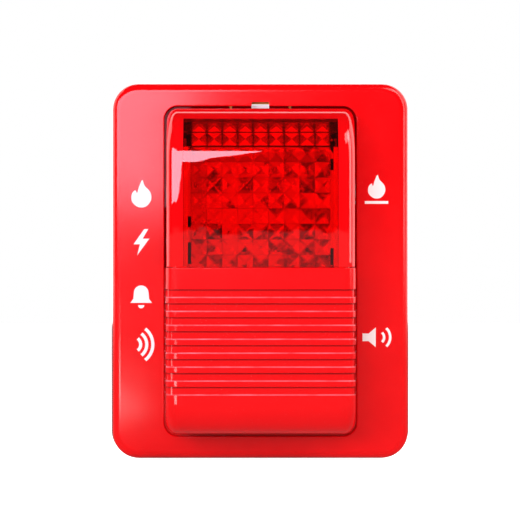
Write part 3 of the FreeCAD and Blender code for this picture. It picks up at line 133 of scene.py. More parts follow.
def blend_colour(tree, share, first, second):
    """first where share is 0, second where it is 1."""
    def full(colour):
        return colour if isinstance(colour, bpy.types.NodeSocket) else (*colour, 1.0)

    inputs = {0: share, 6: full(first), 7: full(second)}
    return add(tree, "ShaderNodeMix", inputs, data_type="RGBA").outputs[2]


def scale_colour(colour, factor):
    return tuple(min(1.0, c * factor) for c in colour)


def start_material(name):
    material = bpy.data.materials.new(name)
    material.use_nodes = True
    material.node_tree.nodes.clear()
    return material, material.node_tree


def finish_material(tree, shader):
    add(tree, "ShaderNodeOutputMaterial", {"Surface": shader})


# ---- kinds of material ----------------------------------------------------------------------------
DUST = (0.55, 0.53, 0.50)
SIDE_WALL_LIGHT = 0.45      # how much light a side wall of the lens lets through, beside the front


def scratches(tree, amount):
    """A few fine straight scratches in two directions, 0 or 1."""
    lines = []
    for stretch in ((0.02, 1.0, 1.4), (1.3, 1.0, 0.025)):
        fine = noise(tree, 0.9, 1.0, stretch)
        lines.append(ramp(tree, fine, 0.73 - amount * 0.05, 0.76 - amount * 0.05))
    return either(tree, *lines)


def moulded(name, colour, roughness, grain=0.15, grain_size=0.25, mottle=0.06, wear=0.3, metallic=0.0,
            colour_socket=None):
    """Plastic or metal with slight mottling, uneven gloss, fine grain, scratches and dust.

    colour_socket, where given, builds the colour in the tree and takes the place of colour.
    """
    material, tree = start_material(name)
    broad = noise(tree, 14.0, 3.0)
    fine = noise(tree, grain_size, 2.0)
    if colour_socket:
        base = colour_socket(tree)
    else:
        low, high = scale_colour(colour, 1 - mottle), scale_colour(colour, 1 + mottle)
        base = blend_colour(tree, ramp(tree, broad, 0.3, 0.7), low, high)
    lines = scratches(tree, wear)
    dust = ramp(tree, noise(tree, 0.5, 0.0), 0.80, 0.84, 0.0, wear * 0.5)
    base = blend_colour(tree, dust, base, DUST)
    gloss = ramp(tree, broad, 0.25, 0.75, roughness * 0.88, roughness * 1.15)
    gloss = math_node(tree, "ADD", gloss, times(tree, lines, wear * 0.25))
    height = math_node(tree, "SUBTRACT", fine, times(tree, lines, 0.5))
    bump = add(tree, "ShaderNodeBump", {"Height": height, "Strength": grain, "Distance": 0.02 * MM})
    inputs = {"Base Color": base, "Roughness": gloss, "IOR": 1.5, "Metallic": metallic,
              "Normal": bump.outputs[0]}
    finish_material(tree, add(tree, "ShaderNodeBsdfPrincipled", inputs).outputs[0])
    return material


def milky_body(tree, gloss, ior, normal, painted_gap_shade):
    """Opaque red for frosted areas; the last argument (0 to 1), where given, darkens them with painted shade
    and takes their shine.
    """
    # painted shade: where given, the mask darkens the red and takes its shine
    matt = painted_gap_shade(tree) if painted_gap_shade else 0.0
    inputs = {"Base Color": blend_colour(tree, matt, RED, scale_colour(RED, 0.30)),
              "Roughness": math_node(tree, "MAXIMUM", gloss, matt), "IOR": ior,
              "Specular IOR Level": ramp(tree, matt, 0.0, 1.0, 0.5, 0.0), "Normal": normal}
    return add(tree, "ShaderNodeBsdfPrincipled", inputs).outputs[0]


def shadow_light(tree, tint):
    """What a shadow ray meets: the plastic's tint, darker on the side walls."""
    normal = add(tree, "ShaderNodeTexCoord").outputs["Normal"]
    sideways = add(tree, "ShaderNodeSeparateXYZ", {0: normal}).outputs[0]
    wall = ramp(tree, size_of(tree, sideways), 0.3, 0.9)
    passed = tuple(math.sqrt(c) for c in tint)
    passed = blend_colour(tree, wall, passed, scale_colour(passed, SIDE_WALL_LIGHT))
    return add(tree, "ShaderNodeBsdfTransparent", {"Color": passed}).outputs[0]


def clear(name, tint, roughness=0.0, ior=1.58, waviness=0.02, shade=None, frost=None, painted_gap_shade=None):
    """Clear tinted plastic.

    frost (0 to 1) makes areas milky; the last argument takes the gloss of milky areas and darkens them with
    painted shade, and shade darkens clear ones with painted shade.
    """
    material, tree = start_material(name)
    flow = noise(tree, 9.0, 1.0)
    uneven = blend_colour(tree, ramp(tree, flow, 0.3, 0.7), scale_colour(tint, 0.96), tint)
    if shade:
        uneven = blend_colour(tree, shade(tree), uneven, scale_colour(tint, 0.30))
    bump = add(tree, "ShaderNodeBump", {"Height": flow, "Strength": waviness, "Distance": 0.5 * MM})
    gloss = ramp(tree, noise(tree, 3.0), 0.3, 0.8, roughness, roughness + 0.01)
    inputs = {"Base Color": uneven, "Roughness": gloss, "IOR": ior, "Transmission Weight": 1.0,
              "Normal": bump.outputs[0]}
    body = add(tree, "ShaderNodeBsdfPrincipled", inputs).outputs[0]
    if frost:
        milky = milky_body(tree, gloss, ior, bump.outputs[0], painted_gap_shade)
        body = add(tree, "ShaderNodeMixShader", {0: frost(tree), 1: body, 2: milky}).outputs[0]
    is_shadow = add(tree, "ShaderNodeLightPath").outputs["Is Shadow Ray"]
    through = shadow_light(tree, tint)
    finish_material(tree, add(tree, "ShaderNodeMixShader", {0: is_shadow, 1: body, 2: through}).outputs[0])
    return material


# ---- the two lenses -------------------------------------------------------------------------------
RED = (0.80, 0.0016, 0.0035)

LENS_FLANGE_Y = -21.5       # the lens's lip lies behind this
LENS_WINDOW = 30.05         # half the width of the lens's clear window
LENS_WINDOW_TOP = 59.3

PRISM_PITCH = 6.0           # this and the next four as in the CAD
PRISM_COLUMNS = 9
PRISM_BOTTOM = -5.7
PRISM_BEND_Z = 42.3
PRISM_BEND_RADIUS = 18.8
PRISM_HALF_WIDTH = PRISM_COLUMNS * PRISM_PITCH / 2
PRISM_BENT_FROM = 48.0      # the top rows, which show as dark squares, start here
PRISM_BENT_ROWS = (9.0, 10.0)
SKIRT_INNER, SKIRT_OUTER = 28.3, 30.0   # the prism plate's plain side skirts, from its middle
LEFT_FACE, RIGHT_FACE, LOWER_FACE, UPPER_FACE = 0.0, 1.0, 2.0, 3.0


def lens_flange(tree):
    """The lens's lip and the foot of its walls, deep in the gap round the module, where shade is also
    painted on the lens.
    """
    return above(tree, coordinate(tree, 1), LENS_FLANGE_Y, 0.6)


def lens_frost(tree):
    """The lens is milky outside the prisms: its side borders, its top and its hidden flange."""
    border = above(tree, size_of(tree, coordinate(tree, 0)), LENS_WINDOW)
    top = above(tree, coordinate(tree, 2), LENS_WINDOW_TOP, 0.4)
    streaks = ramp(tree, noise(tree, 5.0, 2.0, (1.0, 1.0, 0.15)), 0.3, 0.7, 0.80, 1.0)
    return times(tree, either(tree, border, top, lens_flange(tree)), streaks)


def prism_cell(tree):
    """Place within the pyramid field: column, row, and (across, up) from a pyramid's middle in pitches."""
    x, z = coordinate(tree, 0), coordinate(tree, 2)
    columns = math_node(tree, "ADD", math_node(tree, "DIVIDE", x, PRISM_PITCH), PRISM_COLUMNS / 2)
    flat = math_node(tree, "MINIMUM", z, PRISM_BEND_Z)
    flat = math_node(tree, "DIVIDE", math_node(tree, "SUBTRACT", flat, PRISM_BOTTOM), PRISM_PITCH)
    rise = ramp(tree, z, PRISM_BEND_Z, PRISM_BEND_Z + PRISM_BEND_RADIUS)
    bent = times(tree, math_node(tree, "ARCSINE", rise), PRISM_BEND_RADIUS / PRISM_PITCH)
    rows = math_node(tree, "ADD", flat, bent)
    column, row = math_node(tree, "FLOOR", columns), math_node(tree, "FLOOR", rows)
    across = math_node(tree, "SUBTRACT", math_node(tree, "FRACT", columns), 0.5)
    up = math_node(tree, "SUBTRACT", math_node(tree, "FRACT", rows), 0.5)
    return column, row, across, up


def prism_face(tree, across, up):
    """Number of the pyramid's face."""
    upright = math_node(tree, "GREATER_THAN", size_of(tree, up), size_of(tree, across))
    right = math_node(tree, "GREATER_THAN", across, 0.0)
    vertical = math_node(tree, "ADD", math_node(tree, "GREATER_THAN", up, 0.0), LOWER_FACE)
    sideways = times(tree, math_node(tree, "SUBTRACT", 1.0, upright), right)
    return math_node(tree, "ADD", times(tree, upright, vertical), sideways)


def prism_edge(tree, across, up):
    """0 at a pyramid's tip and 0.5 at the groove between two pyramids."""
    return either(tree, size_of(tree, across), size_of(tree, up))


def within_prisms(tree):
    return below(tree, size_of(tree, coordinate(tree, 0)), PRISM_HALF_WIDTH)


def equals(tree, value, number):
    return math_node(tree, "COMPARE", value, number)


def painted_dark_faces(tree, column, row, face):
    """Painted shade on faces picked by chance, most of them at the right and at the bottom."""
    spot = add(tree, "ShaderNodeCombineXYZ", {0: column, 1: row, 2: face}).outputs[0]
    chance = add(tree, "ShaderNodeTexWhiteNoise", {"Vector": spot}).outputs[0]
    to_right = ramp(tree, coordinate(tree, 0), -6.0, 26.0, 0.06, 0.44)
    low_down = ramp(tree, coordinate(tree, 2), 2.0, 20.0, 0.30, 0.0)
    dark = math_node(tree, "LESS_THAN", chance, math_node(tree, "ADD", to_right, low_down))
    return times(tree, dark, ramp(tree, noise(tree, 2.2, 3.0), 0.40, 0.52, 0.35, 1.0))


def painted_dark_grooves(tree, edge):
    """Uneven lines of painted shade between the pyramids."""
    uneven = ramp(tree, noise(tree, 7.0, 2.0), 0.38, 0.56, 0.25, 1.0)
    return times(tree, ramp(tree, edge, 0.455, 0.48, 0.0, 0.75), uneven)


def painted_dark_ridges(tree, across, up):
    """Thin broken lines of painted shade along the pyramids' ridges."""
    off_ridge = size_of(tree, math_node(tree, "SUBTRACT", size_of(tree, across), size_of(tree, up)))
    broken = ramp(tree, noise(tree, 3.2, 2.0), 0.42, 0.62, 0.0, 0.9)
    return times(tree, ramp(tree, off_ridge, 0.012, 0.035, 1.0, 0.0), broken)


def painted_dark_top_rows(tree, face, edge):
    """In the bent rows the side faces and the grooves are dark with painted shade."""
    sides = either(tree, equals(tree, face, LEFT_FACE), equals(tree, face, RIGHT_FACE))
    grooves = ramp(tree, edge, 0.43, 0.45)
    return times(tree, above(tree, coordinate(tree, 2), PRISM_BENT_FROM), either(tree, grooves, sides))


def prism_painted_shade(tree):
    """Painted shade on the prism plate: everything that is dark on it."""
    column, row, across, up = prism_cell(tree)
    face, edge = prism_face(tree, across, up), prism_edge(tree, across, up)
    painted_marks = either(tree, painted_dark_faces(tree, column, row, face), painted_dark_grooves(tree, edge),
                   painted_dark_ridges(tree, across, up), painted_dark_top_rows(tree, face, edge))
    return times(tree, painted_marks, within_prisms(tree))


def prism_frost(tree):
    """Milky parts of the prism plate: its skirts, and the faces of the two top rows that catch the light."""
    _, row, across, up = prism_cell(tree)
    face = prism_face(tree, across, up)
    x, z = size_of(tree, coordinate(tree, 0)), coordinate(tree, 2)
    inner = times(tree, within_prisms(tree), below(tree, prism_edge(tree, across, up), 0.44, 0.02))
    first, second = (equals(tree, row, number) for number in PRISM_BENT_ROWS)
    lower, upper = equals(tree, face, LOWER_FACE), equals(tree, face, UPPER_FACE)
    lit = either(tree, times(tree, first, upper), times(tree, first, lower), times(tree, second, lower))
    lit = times(tree, inner, lit, ramp(tree, noise(tree, 2.0, 3.0), 0.35, 0.65, 0.65, 1.0))
    dim = times(tree, either(tree, first, second), ramp(tree, noise(tree, 3.0, 2.0), 0.3, 0.7, 0.10, 0.32))
    skirts = times(tree, above(tree, x, SKIRT_INNER), below(tree, x, SKIRT_OUTER),
                   below(tree, z, PRISM_BENT_FROM, 0.4), 0.85)
    return either(tree, lit, times(tree, inner, dim), skirts)


# ---- the horn cover and the boards ----------------------------------------------------------------
# painted highlight colour for the lands' upper edges
PAINTED_HIGHLIGHT_RED = (0.93, 0.15, 0.18)
GROOVE_TOP = -7.1           # this and the next three as in the CAD
GROOVE_PITCH = 5.386
GROOVE_HEIGHT = 2.9
GROOVE_COUNT = 8
GROOVE_END = GROOVE_TOP - GROOVE_COUNT * GROOVE_PITCH
HIGHLIGHT_BELOW_EDGE = 0.15    # the middle of each painted highlight line lies this far under its land's upper edge


def horn_colour(tree):
    """Red with a painted highlight along each land's upper edge and a line of painted shade under each land.
    """
    z = coordinate(tree, 2)
    down = math_node(tree, "DIVIDE", math_node(tree, "SUBTRACT", GROOVE_TOP, z), GROOVE_PITCH)
    step = times(tree, math_node(tree, "FRACT", down), GROOVE_PITCH)
    grooved = times(tree, below(tree, z, GROOVE_TOP + 0.3), above(tree, z, GROOVE_END + 0.1))
    off_edge = size_of(tree, math_node(tree, "SUBTRACT", step, GROOVE_HEIGHT + HIGHLIGHT_BELOW_EDGE))
    uneven = ramp(tree, noise(tree, 9.0, 3.0), 0.35, 0.65, 0.30, 1.0)
    # painted highlight: a light line along each land's upper edge
    painted_highlight = times(tree, grooved, ramp(tree, off_edge, 0.12, 0.34, 1.0, 0.0), uneven)
    # painted shade: a darker band in the top of each groove, under the land above it
    shadow = times(tree, grooved, ramp(tree, step, 0.25, 0.75, 1.0, 0.0))
    red = blend_colour(tree, shadow, RED, scale_colour(RED, 0.45))
    return blend_colour(tree, painted_highlight, red, PAINTED_HIGHLIGHT_RED)


def board_colour(mask, copper):
    """Solder mask over a grid of thin tracks, with bare pads here and there."""
    def build(tree):
        face = add(tree, "ShaderNodeCombineXYZ", {0: coordinate(tree, 0), 1: coordinate(tree, 2)})
        tracks = add(tree, "ShaderNodeTexBrick", {
            "Vector": face.outputs[0], "Color1": (*scale_colour(mask, 1.15), 1),
            "Color2": (*scale_colour(mask, 0.9), 1), "Mortar": (*scale_colour(mask, 2.1), 1),
            "Scale": 1.0, "Mortar Size": 0.16, "Brick Width": 5.3, "Row Height": 2.54})
        pads = add(tree, "ShaderNodeTexVoronoi", {"Vector": place(tree), "Scale": 0.28})
        bare = ramp(tree, pads.outputs["Distance"], 0.16, 0.19, 1.0, 0.0)
        return blend_colour(tree, bare, tracks.outputs["Color"], copper)
    return build


def split_colour(axis, limit, under, over):
    """Two colours divided at a plane of the piece."""
    def build(tree):
        return blend_colour(tree, ramp(tree, coordinate(tree, axis), limit, limit + 0.05), under, over)
    return build


# ---- materials by name ----------------------------------------------------------------------------
CAN_SLEEVE_Y = -27.2        # the capacitors' sleeves end here and their bare tops begin
LEAD_COLOUR_Z = -34.0       # one lead lies above this height and the other below it


def red_materials():
    return {
        "frame_red": moulded("frame_red", RED, 0.11, grain=0.04, grain_size=0.8, mottle=0.03, wear=0.08),
        "horn_red": moulded("horn_red", None, 0.10, grain=0.03, grain_size=0.8, wear=0.08,
                            colour_socket=horn_colour),
        # the lens's flange deep in the gap round the module gets painted shade
        "lens_red": clear("lens_red", (0.95, 0.012, 0.02), 0.0, ior=1.72, frost=lens_frost,
                          painted_gap_shade=lens_flange),
        "prism_red": clear("prism_red", (0.94, 0.02, 0.03), 0.01, waviness=0.05, shade=prism_painted_shade,
                           frost=prism_frost),
    }


def plastic_materials():
    return {
        "led_clear": clear("led_clear", (0.93, 0.93, 0.86), 0.0, ior=1.53),
        "reflector_white": moulded("reflector_white", (0.86, 0.86, 0.84), 0.35, grain=0.1, wear=0.1),
        "white_abs": moulded("white_abs", (0.80, 0.80, 0.77), 0.42, grain=0.35, grain_size=0.18, wear=0.25),
        "acetal": moulded("acetal", (0.90, 0.97, 0.88), 0.3, wear=0.2),
        "nylon": moulded("nylon", (0.80, 0.78, 0.70), 0.35, grain=0.2, wear=0.2),
        "black_abs": moulded("black_abs", (0.018, 0.018, 0.02), 0.45, grain=0.5, grain_size=0.2, mottle=0.2),
        "grey_abs": moulded("grey_abs", (0.22, 0.23, 0.24), 0.42, grain=0.4, grain_size=0.2),
        "green_block": moulded("green_block", (0.02, 0.22, 0.07), 0.32, grain=0.2),
        "chip_black": moulded("chip_black", (0.022, 0.022, 0.024), 0.5, grain=0.5, grain_size=0.1,
                              mottle=0.2),
        "tape": moulded("tape", (0.75, 0.50, 0.03), 0.3, grain=0.2, wear=0.2),
        "mesh_black": moulded("mesh_black", (0.03, 0.03, 0.032), 0.6, grain=0.4, grain_size=0.1),
        "print_white": moulded("print_white", (0.93, 0.99, 0.90), 0.35, grain=0.2, mottle=0.01, wear=0.12),
    }


def metal_materials():
    return {
        "zinc": moulded("zinc", (0.62, 0.62, 0.60), 0.3, grain=0.3, grain_size=0.3, mottle=0.12,
                        metallic=1.0),
        "polished": moulded("polished", (0.70, 0.70, 0.70), 0.12, grain=0.1, mottle=0.05, metallic=1.0),
        "bronze": moulded("bronze", (0.95, 0.40, 0.07), 0.38, grain=0.2, mottle=0.12, metallic=0.4),
        "brass": moulded("brass", (0.80, 0.58, 0.24), 0.24, grain=0.2, mottle=0.1, metallic=1.0),
        "silver_ceramic": moulded("silver_ceramic", (0.72, 0.71, 0.68), 0.4, grain=0.3, metallic=0.6),
        "ferrite": moulded("ferrite", (0.05, 0.05, 0.055), 0.5, grain=0.5, grain_size=0.2, mottle=0.2),
    }


def two_colour_materials():
    sleeve = split_colour(1, CAN_SLEEVE_Y, (0.62, 0.62, 0.62), (0.012, 0.02, 0.07))
    leads = split_colour(2, LEAD_COLOUR_Z, (0.02, 0.02, 0.022), (0.5, 0.01, 0.012))
    green = board_colour((0.008, 0.085, 0.03), (0.62, 0.55, 0.30))
    white = board_colour((0.36, 0.37, 0.36), (0.5, 0.48, 0.42))
    return {
        "can": moulded("can", None, 0.25, wear=0.1, colour_socket=sleeve),
        "lead_wire": moulded("lead_wire", None, 0.4, grain=0.2, colour_socket=leads),
        "main_mask": moulded("main_mask", None, 0.28, grain=0.1, wear=0.15, colour_socket=green),
        "light_mask": moulded("light_mask", None, 0.3, grain=0.1, wear=0.15, colour_socket=white),
    }


LOOKS = {
    "front_frame": "frame_red", "horn_cover": "horn_red", "strobe_lens": "lens_red",
    "prism_lens": "prism_red", "reflector": "reflector_white", "led_board": "light_mask",
    "strobe_leds": "led_clear",
    "led_spacers": "nylon", "led_screws": "zinc", "rear_tray": "black_abs", "main_board": "main_mask",
    "board_screws": "zinc", "contact_studs": "brass", "driver_chips": "chip_black",
    "storage_capacitors": "can", "boost_transformer": "ferrite", "chip_resistors": "chip_black",
    "board_header": "black_abs", "volume_switch": "zinc", "volume_slider": "acetal",
    "tone_switch": "grey_abs", "tone_selector": "acetal", "sounder_body": "black_abs", "piezo_disc": "brass",
    "piezo_ceramic": "silver_ceramic", "sounder_cap": "black_abs", "sounder_screws": "zinc",
    "horn_duct": "grey_abs", "outlet_mesh": "mesh_black", "sounder_leads": "lead_wire",
    "frame_screws": "zinc", "strike_plate": "bronze", "wall_base": "white_abs", "hinge_pins": "polished",
    "release_latch": "acetal", "latch_spring": "zinc", "terminal_block": "green_block",
    "contact_fingers": "bronze",
}


def look_of(node):
    if node.startswith(("terminal_screw", "terminal_clamp")):
        return "zinc"
    return LOOKS[node]


def dress(materials):
    """Gives every CAD node its material."""
    for name, obj in nodes.items():
        obj.data.materials.clear()
        obj.data.materials.append(materials[look_of(name)])


# ---- mesh helpers ---------------------------------------------------------------------------------
def make_object(name, verts, faces, material):
    mesh = bpy.data.meshes.new(name)
    mesh.from_pydata([tuple(v) for v in verts], [], faces)
    mesh.validate()
    obj = bpy.data.objects.new(name, mesh)
    bpy.context.scene.collection.objects.link(obj)
    obj.data.materials.append(material)
    return obj


def plate(verts, faces, outline, face_y, thickness, centre):
    """Adds a thin raised shape: outline is a closed list of (x, z) millimetres round centre."""
    first, count = len(verts), len(outline)
    for y in (face_y, face_y - thickness):
        verts += [(centre[0] * MM + x * MM, y, centre[1] * MM + z * MM) for x, z in outline]
    faces.append([first + i for i in range(count)])
    faces.append([first + count + i for i in reversed(range(count))])
    for i in range(count):
        j = (i + 1) % count
        faces.append([first + i, first + count + i, first + count + j, first + j])


def tube_walls(faces, first, rings, sides):
    """Walls between rings of sides points each, and the two ends."""
    for ring in range(rings - 1):
        for k in range(sides):
            a = first + ring * sides + k
            b = first + ring * sides + (k + 1) % sides
            faces.append([a, b, b + sides, a + sides])
    faces.append([first + k for k in reversed(range(sides))])
    faces.append([first + (rings - 1) * sides + k for k in range(sides)])


def arc(cx, cz, radius, start, end, steps=16):
    angles = [math.radians(start + (end - start) * i / steps) for i in range(steps + 1)]
    return [(cx + radius * math.cos(a), cz + radius * math.sin(a)) for a in angles]


def band(path, width):
    """Closed outline of a line of even width along an open path."""
    left, right = [], []
    for i, (x, z) in enumerate(path):
        x0, z0 = path[max(i - 1, 0)]
        x1, z1 = path[min(i + 1, len(path) - 1)]
        size = math.hypot(x1 - x0, z1 - z0)
        nx, nz = -(z1 - z0) / size * width / 2, (x1 - x0) / size * width / 2
        left.append((x + nx, z + nz))
        right.append((x - nx, z - nz))
    return left + right[::-1]


def catmull_rom(a, b, c, d, t):
    """One coordinate of a smooth curve, at share t of the way from b to c."""
    square, cube = 2 * a - 5 * b + 4 * c - d, 3 * b - a - 3 * c + d
    return 0.5 * (2 * b + (c - a) * t + square * t ** 2 + cube * t ** 3)


def smooth_closed(points, steps=8):
    """Smooth closed curve through the points."""
    count = len(points)
    curve = []
    for i in range(count):
        xs, zs = zip(*(points[(i + k - 1) % count] for k in range(4)))
        curve += [(catmull_rom(*xs, s / steps), catmull_rom(*zs, s / steps)) for s in range(steps)]
    return curve


# ---- printed symbols: outlines in millimetres round their own middle ------------------------------
LEFT_COLUMN = -47.0
RIGHT_COLUMN = 45.8
FLAME_Z, LIGHTNING_Z, BELL_Z, WAVES_Z = 30.4, 11.3, -9.4, -29.0
SMALL_FLAME_Z, BAR_Z, LOUDSPEAKER_Z = 33.2, 27.0, -26.2
PRINT_THICKNESS = 0.06


def flame(size=1.0):
    """A flame with a curl, about 11 mm high at size 1."""
    points = [(0.4, 5.4), (1.4, 3.2), (3.6, 0.6), (3.9, -2.4), (1.9, -5.0), (-1.2, -5.2), (-3.6, -3.1),
              (-3.7, -0.2), (-2.4, 1.4), (-1.6, 0.4), (-0.9, 2.6)]
    return smooth_closed([(x * size, z * size) for x, z in points])


def lightning():
    return [(1.2, 5.2), (-3.0, -0.8), (-0.5, -0.8), (-1.6, -5.2), (3.2, 1.4), (0.6, 1.4), (2.8, 5.2)]


def bell():
    dome = arc(0, 0.8, 2.9, 0, 180, 14)
    return dome + [(-3.1, -1.6), (-4.3, -3.2), (4.3, -3.2), (3.1, -1.6)]


def clapper():
    return arc(0, -4.1, 1.25, 180, 360, 10)


def bar():
    return [(-4.6, -0.55), (4.6, -0.55), (4.6, 0.55), (-4.6, 0.55)]


def loudspeaker():
    return [(-5.5, -1.5), (-3.1, -1.5), (-0.3, -3.9), (-0.3, 3.9), (-3.1, 1.5), (-5.5, 1.5)]


def waves(cx, radii, half_angle, width, steps):
    return [band(arc(cx, 0, radius, -half_angle, half_angle, steps), width) for radius in radii]


def printed_symbols(material):
    """White symbols printed on the frame: four on the left and two on the right."""
    symbols = [
        (LEFT_COLUMN, FLAME_Z, [flame()]),
        (LEFT_COLUMN, LIGHTNING_Z, [lightning()]),
        (LEFT_COLUMN, BELL_Z, [bell(), clapper()]),
        (LEFT_COLUMN, WAVES_Z, waves(-3.2, (3.0, 5.4, 7.8), 52, 1.25, 14)),
        (RIGHT_COLUMN, SMALL_FLAME_Z, [flame(0.86)]),
        (RIGHT_COLUMN, BAR_Z, [bar()]),
        (RIGHT_COLUMN, LOUDSPEAKER_Z, [loudspeaker()] + waves(0.4, (2.6, 5.0), 46, 1.0, 12)),
    ]
    frame_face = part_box("front_frame")[0].y
    verts, faces = [], []
    for x, z, outlines in symbols:
        for outline in outlines:
            plate(verts, faces, outline, frame_face, PRINT_THICKNESS * MM, (x, z))
    obj = make_object("printed_symbols", verts, faces, material)
    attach(obj, "head")


# ---- inside details -------------------------------------------------------------------------------
WIRE_PITCH = 0.9
WIRE_RADIUS = 0.08
WIRE_WAVE = 0.9             # how far the crossed wires bend round each other, in radii

COIL_LAYERS = 7
COIL_LAYER = 0.62
COIL_START = 18.9           # depth of the coil's rear end
COIL_HALF_WIDTH = 5.55
COIL_HALF_HEIGHT = 1.68
COIL_SQUARENESS = 0.35      # 1 would be an ellipse, 0 a rectangle
COIL_BULGE = 1.03
COIL_STEPS = 32


def wire(verts, faces, start, end, thickness, phase):
    """Wavy wire of diamond section from start to end; thickness points across it."""
    steps = max(2, int((end - start).length / (WIRE_PITCH * MM / 2)))
    upward = Vector((0, 0, WIRE_RADIUS * MM))
    first = len(verts)
    for i in range(steps + 1):
        side = 1 if (i + phase) % 2 else -1
        middle = start.lerp(end, i / steps) + side * WIRE_WAVE * upward
        verts += [middle - thickness, middle + upward, middle + thickness, middle - upward]
    tube_walls(faces, first, steps + 1, 4)


def wire_places(low, high):
    """Where the wires between two edges of the mesh lie."""
    pitch, radius = WIRE_PITCH * MM, WIRE_RADIUS * MM
    count = int((high - low - 2 * radius) / pitch) + 1
    return [low + radius + i * pitch for i in range(count)]


def woven_mesh(material):
    """Dust mesh of crossed wires, in place of the plain CAD sheet."""
    low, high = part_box("outlet_mesh")
    middle = (low.z + high.z) / 2
    verts, faces = [], []
    for i, x in enumerate(wire_places(low.x, high.x)):
        start, end = Vector((x, low.y, middle)), Vector((x, high.y, middle))
        wire(verts, faces, start, end, Vector((WIRE_RADIUS * MM, 0, 0)), i)
    for i, y in enumerate(wire_places(low.y, high.y)):
        start, end = Vector((low.x, y, middle)), Vector((high.x, y, middle))
        wire(verts, faces, start, end, Vector((0, WIRE_RADIUS * MM, 0)), i + 1)
    obj = make_object("woven_outlet_mesh", verts, faces, material)
    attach(obj, "head")
    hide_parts("outlet_mesh")


def squarish(value):
    """Pushes a sine or cosine outwards, which turns a circle into a rounded rectangle."""
    return math.copysign(abs(value) ** COIL_SQUARENESS, value)


def wound_coil(material):
    """Yellow-taped winding round the transformer's middle leg."""
    low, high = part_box("boost_transformer")
    cx, cz = (low.x + high.x) / 2, (low.z + high.z) / 2
    angles = [2 * math.pi * s / COIL_STEPS for s in range(COIL_STEPS)]
    ring = [(COIL_HALF_WIDTH * MM * squarish(math.cos(a)), COIL_HALF_HEIGHT * MM * squarish(math.sin(a)))
            for a in angles]
    verts, faces = [], []
    for layer in range(COIL_LAYERS):
        for part, grow in ((0.0, 1.0), (0.5, COIL_BULGE)):
            y = -(COIL_START + (layer + part) * COIL_LAYER) * MM
            verts += [Vector((cx + x * grow, y, cz + z * grow)) for x, z in ring]
    tube_walls(faces, 0, COIL_LAYERS * 2, COIL_STEPS)
    obj = make_object("transformer_winding", verts, faces, material)
    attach(obj, "head")


# ---- camera, light and table ----------------------------------------------------------------------
CAMERA_DISTANCE = 1.2
CAMERA_AZIMUTH = -0.4
AIM_HEIGHT = 0.0043
PICTURE_WIDTH = 0.2089  # at the wall
SENSOR_WIDTH = 36.0

PANEL_DISTANCE = 1.3
BACKDROP_TOP = 0.77     # sine of the elevation at which the white backdrop ends
BACKDROP_GLOW = 1.7
TABLE_EDGE = 0.0102     # sine of the elevation of the white table's far edge
TABLE_GLOW = 0.2
TABLE_HALF = 2.5
TABLE_GAP = 0.1 * MM
TABLE_SEEN_GLOW = 0.95
CARD_GLOW = 9.0         # white card on the table, in front and to the left, seen only in reflections
CARD_NEAR, CARD_FAR = 0.40, 1.25
CARD_SLANT_LOW, CARD_SLANT_HIGH = 0.14, 0.50    # its sides, as metres to the left per metre to the front


def make_camera():
    data = bpy.data.cameras.new("camera")
    data.sensor_width = SENSOR_WIDTH
    data.lens = SENSOR_WIDTH * CAMERA_DISTANCE / PICTURE_WIDTH
    data.clip_start, data.clip_end = 0.05, 50.0
    camera = bpy.data.objects.new("camera", data)
    bpy.context.scene.collection.objects.link(camera)
    turn = math.radians(CAMERA_AZIMUTH)
    aim = Vector((0, 0, AIM_HEIGHT))
    camera.location = aim + CAMERA_DISTANCE * Vector((math.sin(turn), -math.cos(turn), 0))
    camera.rotation_euler = (aim - camera.location).to_track_quat("-Z", "Y").to_euler()
    bpy.context.scene.camera = camera


def panel(name, azimuth, elevation, width, height, radiance, colour=(1, 1, 1)):
    """Rectangular softbox that faces the object; azimuth 0 is in front and grows to the right."""
    data = bpy.data.lights.new(name, "AREA")
    data.shape = "RECTANGLE"
    data.size, data.size_y = width, height
    data.energy = radiance * math.pi * width * height
    data.color = colour
    light = bpy.data.objects.new(name, data)
    bpy.context.scene.collection.objects.link(light)
    a, e = math.radians(azimuth), math.radians(elevation)
    towards = Vector((math.sin(a) * math.cos(e), -math.cos(a) * math.cos(e), math.sin(e)))
    light.location = PANEL_DISTANCE * towards
    light.rotation_euler = (-light.location).to_track_quat("-Z", "Y").to_euler()


def make_lights():
    panel("key", -29.1, 15.3, width=1.34, height=0.602, radiance=6.3, colour=(1.0, 0.86, 1.06))
    panel("right_card", 64.0, 28.0, width=0.6, height=1.38, radiance=3.0)
    panel("upper_right", 42.0, 52.0, width=0.8, height=0.5, radiance=3.0)


def make_world():
    """White backdrop behind the object, white table below, dark room elsewhere; the camera sees white."""
    world = bpy.data.worlds.new("studio")
    bpy.context.scene.world = world
    world.use_nodes = True
    tree = world.node_tree
    tree.nodes.clear()
    direction = add(tree, "ShaderNodeTexCoord").outputs["Generated"]
    split = add(tree, "ShaderNodeSeparateXYZ", {0: direction})
    behind = ramp(tree, split.outputs[1], 0.0, 0.05)
    under_top = ramp(tree, split.outputs[2], BACKDROP_TOP - 0.01, BACKDROP_TOP, 1.0, 0.0)
    backdrop = times(tree, behind, under_top, BACKDROP_GLOW)
    table = ramp(tree, split.outputs[2], TABLE_EDGE - 0.001, TABLE_EDGE, TABLE_GLOW, 0.02)
    seen = add(tree, "ShaderNodeLightPath").outputs["Is Camera Ray"]
    unseen = math_node(tree, "SUBTRACT", 1.0, seen)
    strength = math_node(tree, "ADD", seen, times(tree, either(tree, backdrop, table), unseen))
    background = add(tree, "ShaderNodeBackground", {"Color": (1, 1, 1, 1), "Strength": strength})
    add(tree, "ShaderNodeOutputWorld", {"Surface": background.outputs[0]})


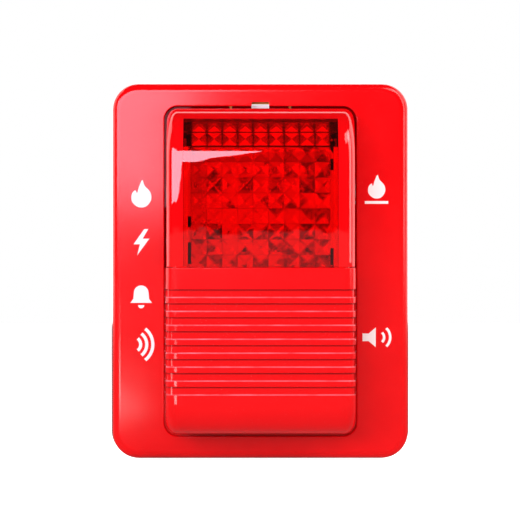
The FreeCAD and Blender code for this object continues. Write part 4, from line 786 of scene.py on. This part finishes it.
def reflected_table(tree):
    """What reflections show of the table: a dim surface with a bright card on it."""
    spot = add(tree, "ShaderNodeNewGeometry").outputs["Position"]
    spot = add(tree, "ShaderNodeSeparateXYZ", {0: spot}).outputs
    left, front = times(tree, spot[0], -1.0), times(tree, spot[1], -1.0)
    slant = math_node(tree, "DIVIDE", left, front)
    card = times(tree, above(tree, front, CARD_NEAR, 0.02), below(tree, front, CARD_FAR, 0.02),
                 above(tree, slant, CARD_SLANT_LOW, 0.02), below(tree, slant, CARD_SLANT_HIGH, 0.02))
    strength = math_node(tree, "ADD", TABLE_GLOW, times(tree, card, CARD_GLOW))
    return add(tree, "ShaderNodeEmission", {"Strength": strength}).outputs[0]


def table_material():
    """Matt white that the camera sees as plain white."""
    material, tree = start_material("floor_white")
    tone = blend_colour(tree, noise(tree, 60.0, 2.0), (0.80, 0.80, 0.80), (0.84, 0.84, 0.84))
    matt = add(tree, "ShaderNodeBsdfDiffuse", {"Color": tone}).outputs[0]
    glow = add(tree, "ShaderNodeEmission", {"Strength": TABLE_SEEN_GLOW}).outputs[0]
    bright = add(tree, "ShaderNodeAddShader", {0: matt, 1: glow}).outputs[0]
    ray = add(tree, "ShaderNodeLightPath").outputs
    lit = add(tree, "ShaderNodeMixShader", {0: ray["Is Camera Ray"], 1: matt, 2: bright}).outputs[0]
    inputs = {0: ray["Is Glossy Ray"], 1: lit, 2: reflected_table(tree)}
    finish_material(tree, add(tree, "ShaderNodeMixShader", inputs).outputs[0])
    return material


def make_table():
    """Plain white table top just under the object."""
    height = cad_low.z - TABLE_GAP
    corners = [(x * TABLE_HALF, y * TABLE_HALF, height) for x, y in ((-1, -1), (1, -1), (1, 1), (-1, 1))]
    make_object("floor", corners, [[0, 1, 2, 3]], table_material())


# ---- build ----------------------------------------------------------------------------------------
materials = {**red_materials(), **plastic_materials(), **metal_materials(), **two_colour_materials()}
dress(materials)
printed_symbols(materials["print_white"])
woven_mesh(materials["mesh_black"])
wound_coil(materials["tape"])
make_table()
make_lights()
make_world()
make_camera()
bpy.context.scene.view_settings.view_transform = "Standard"
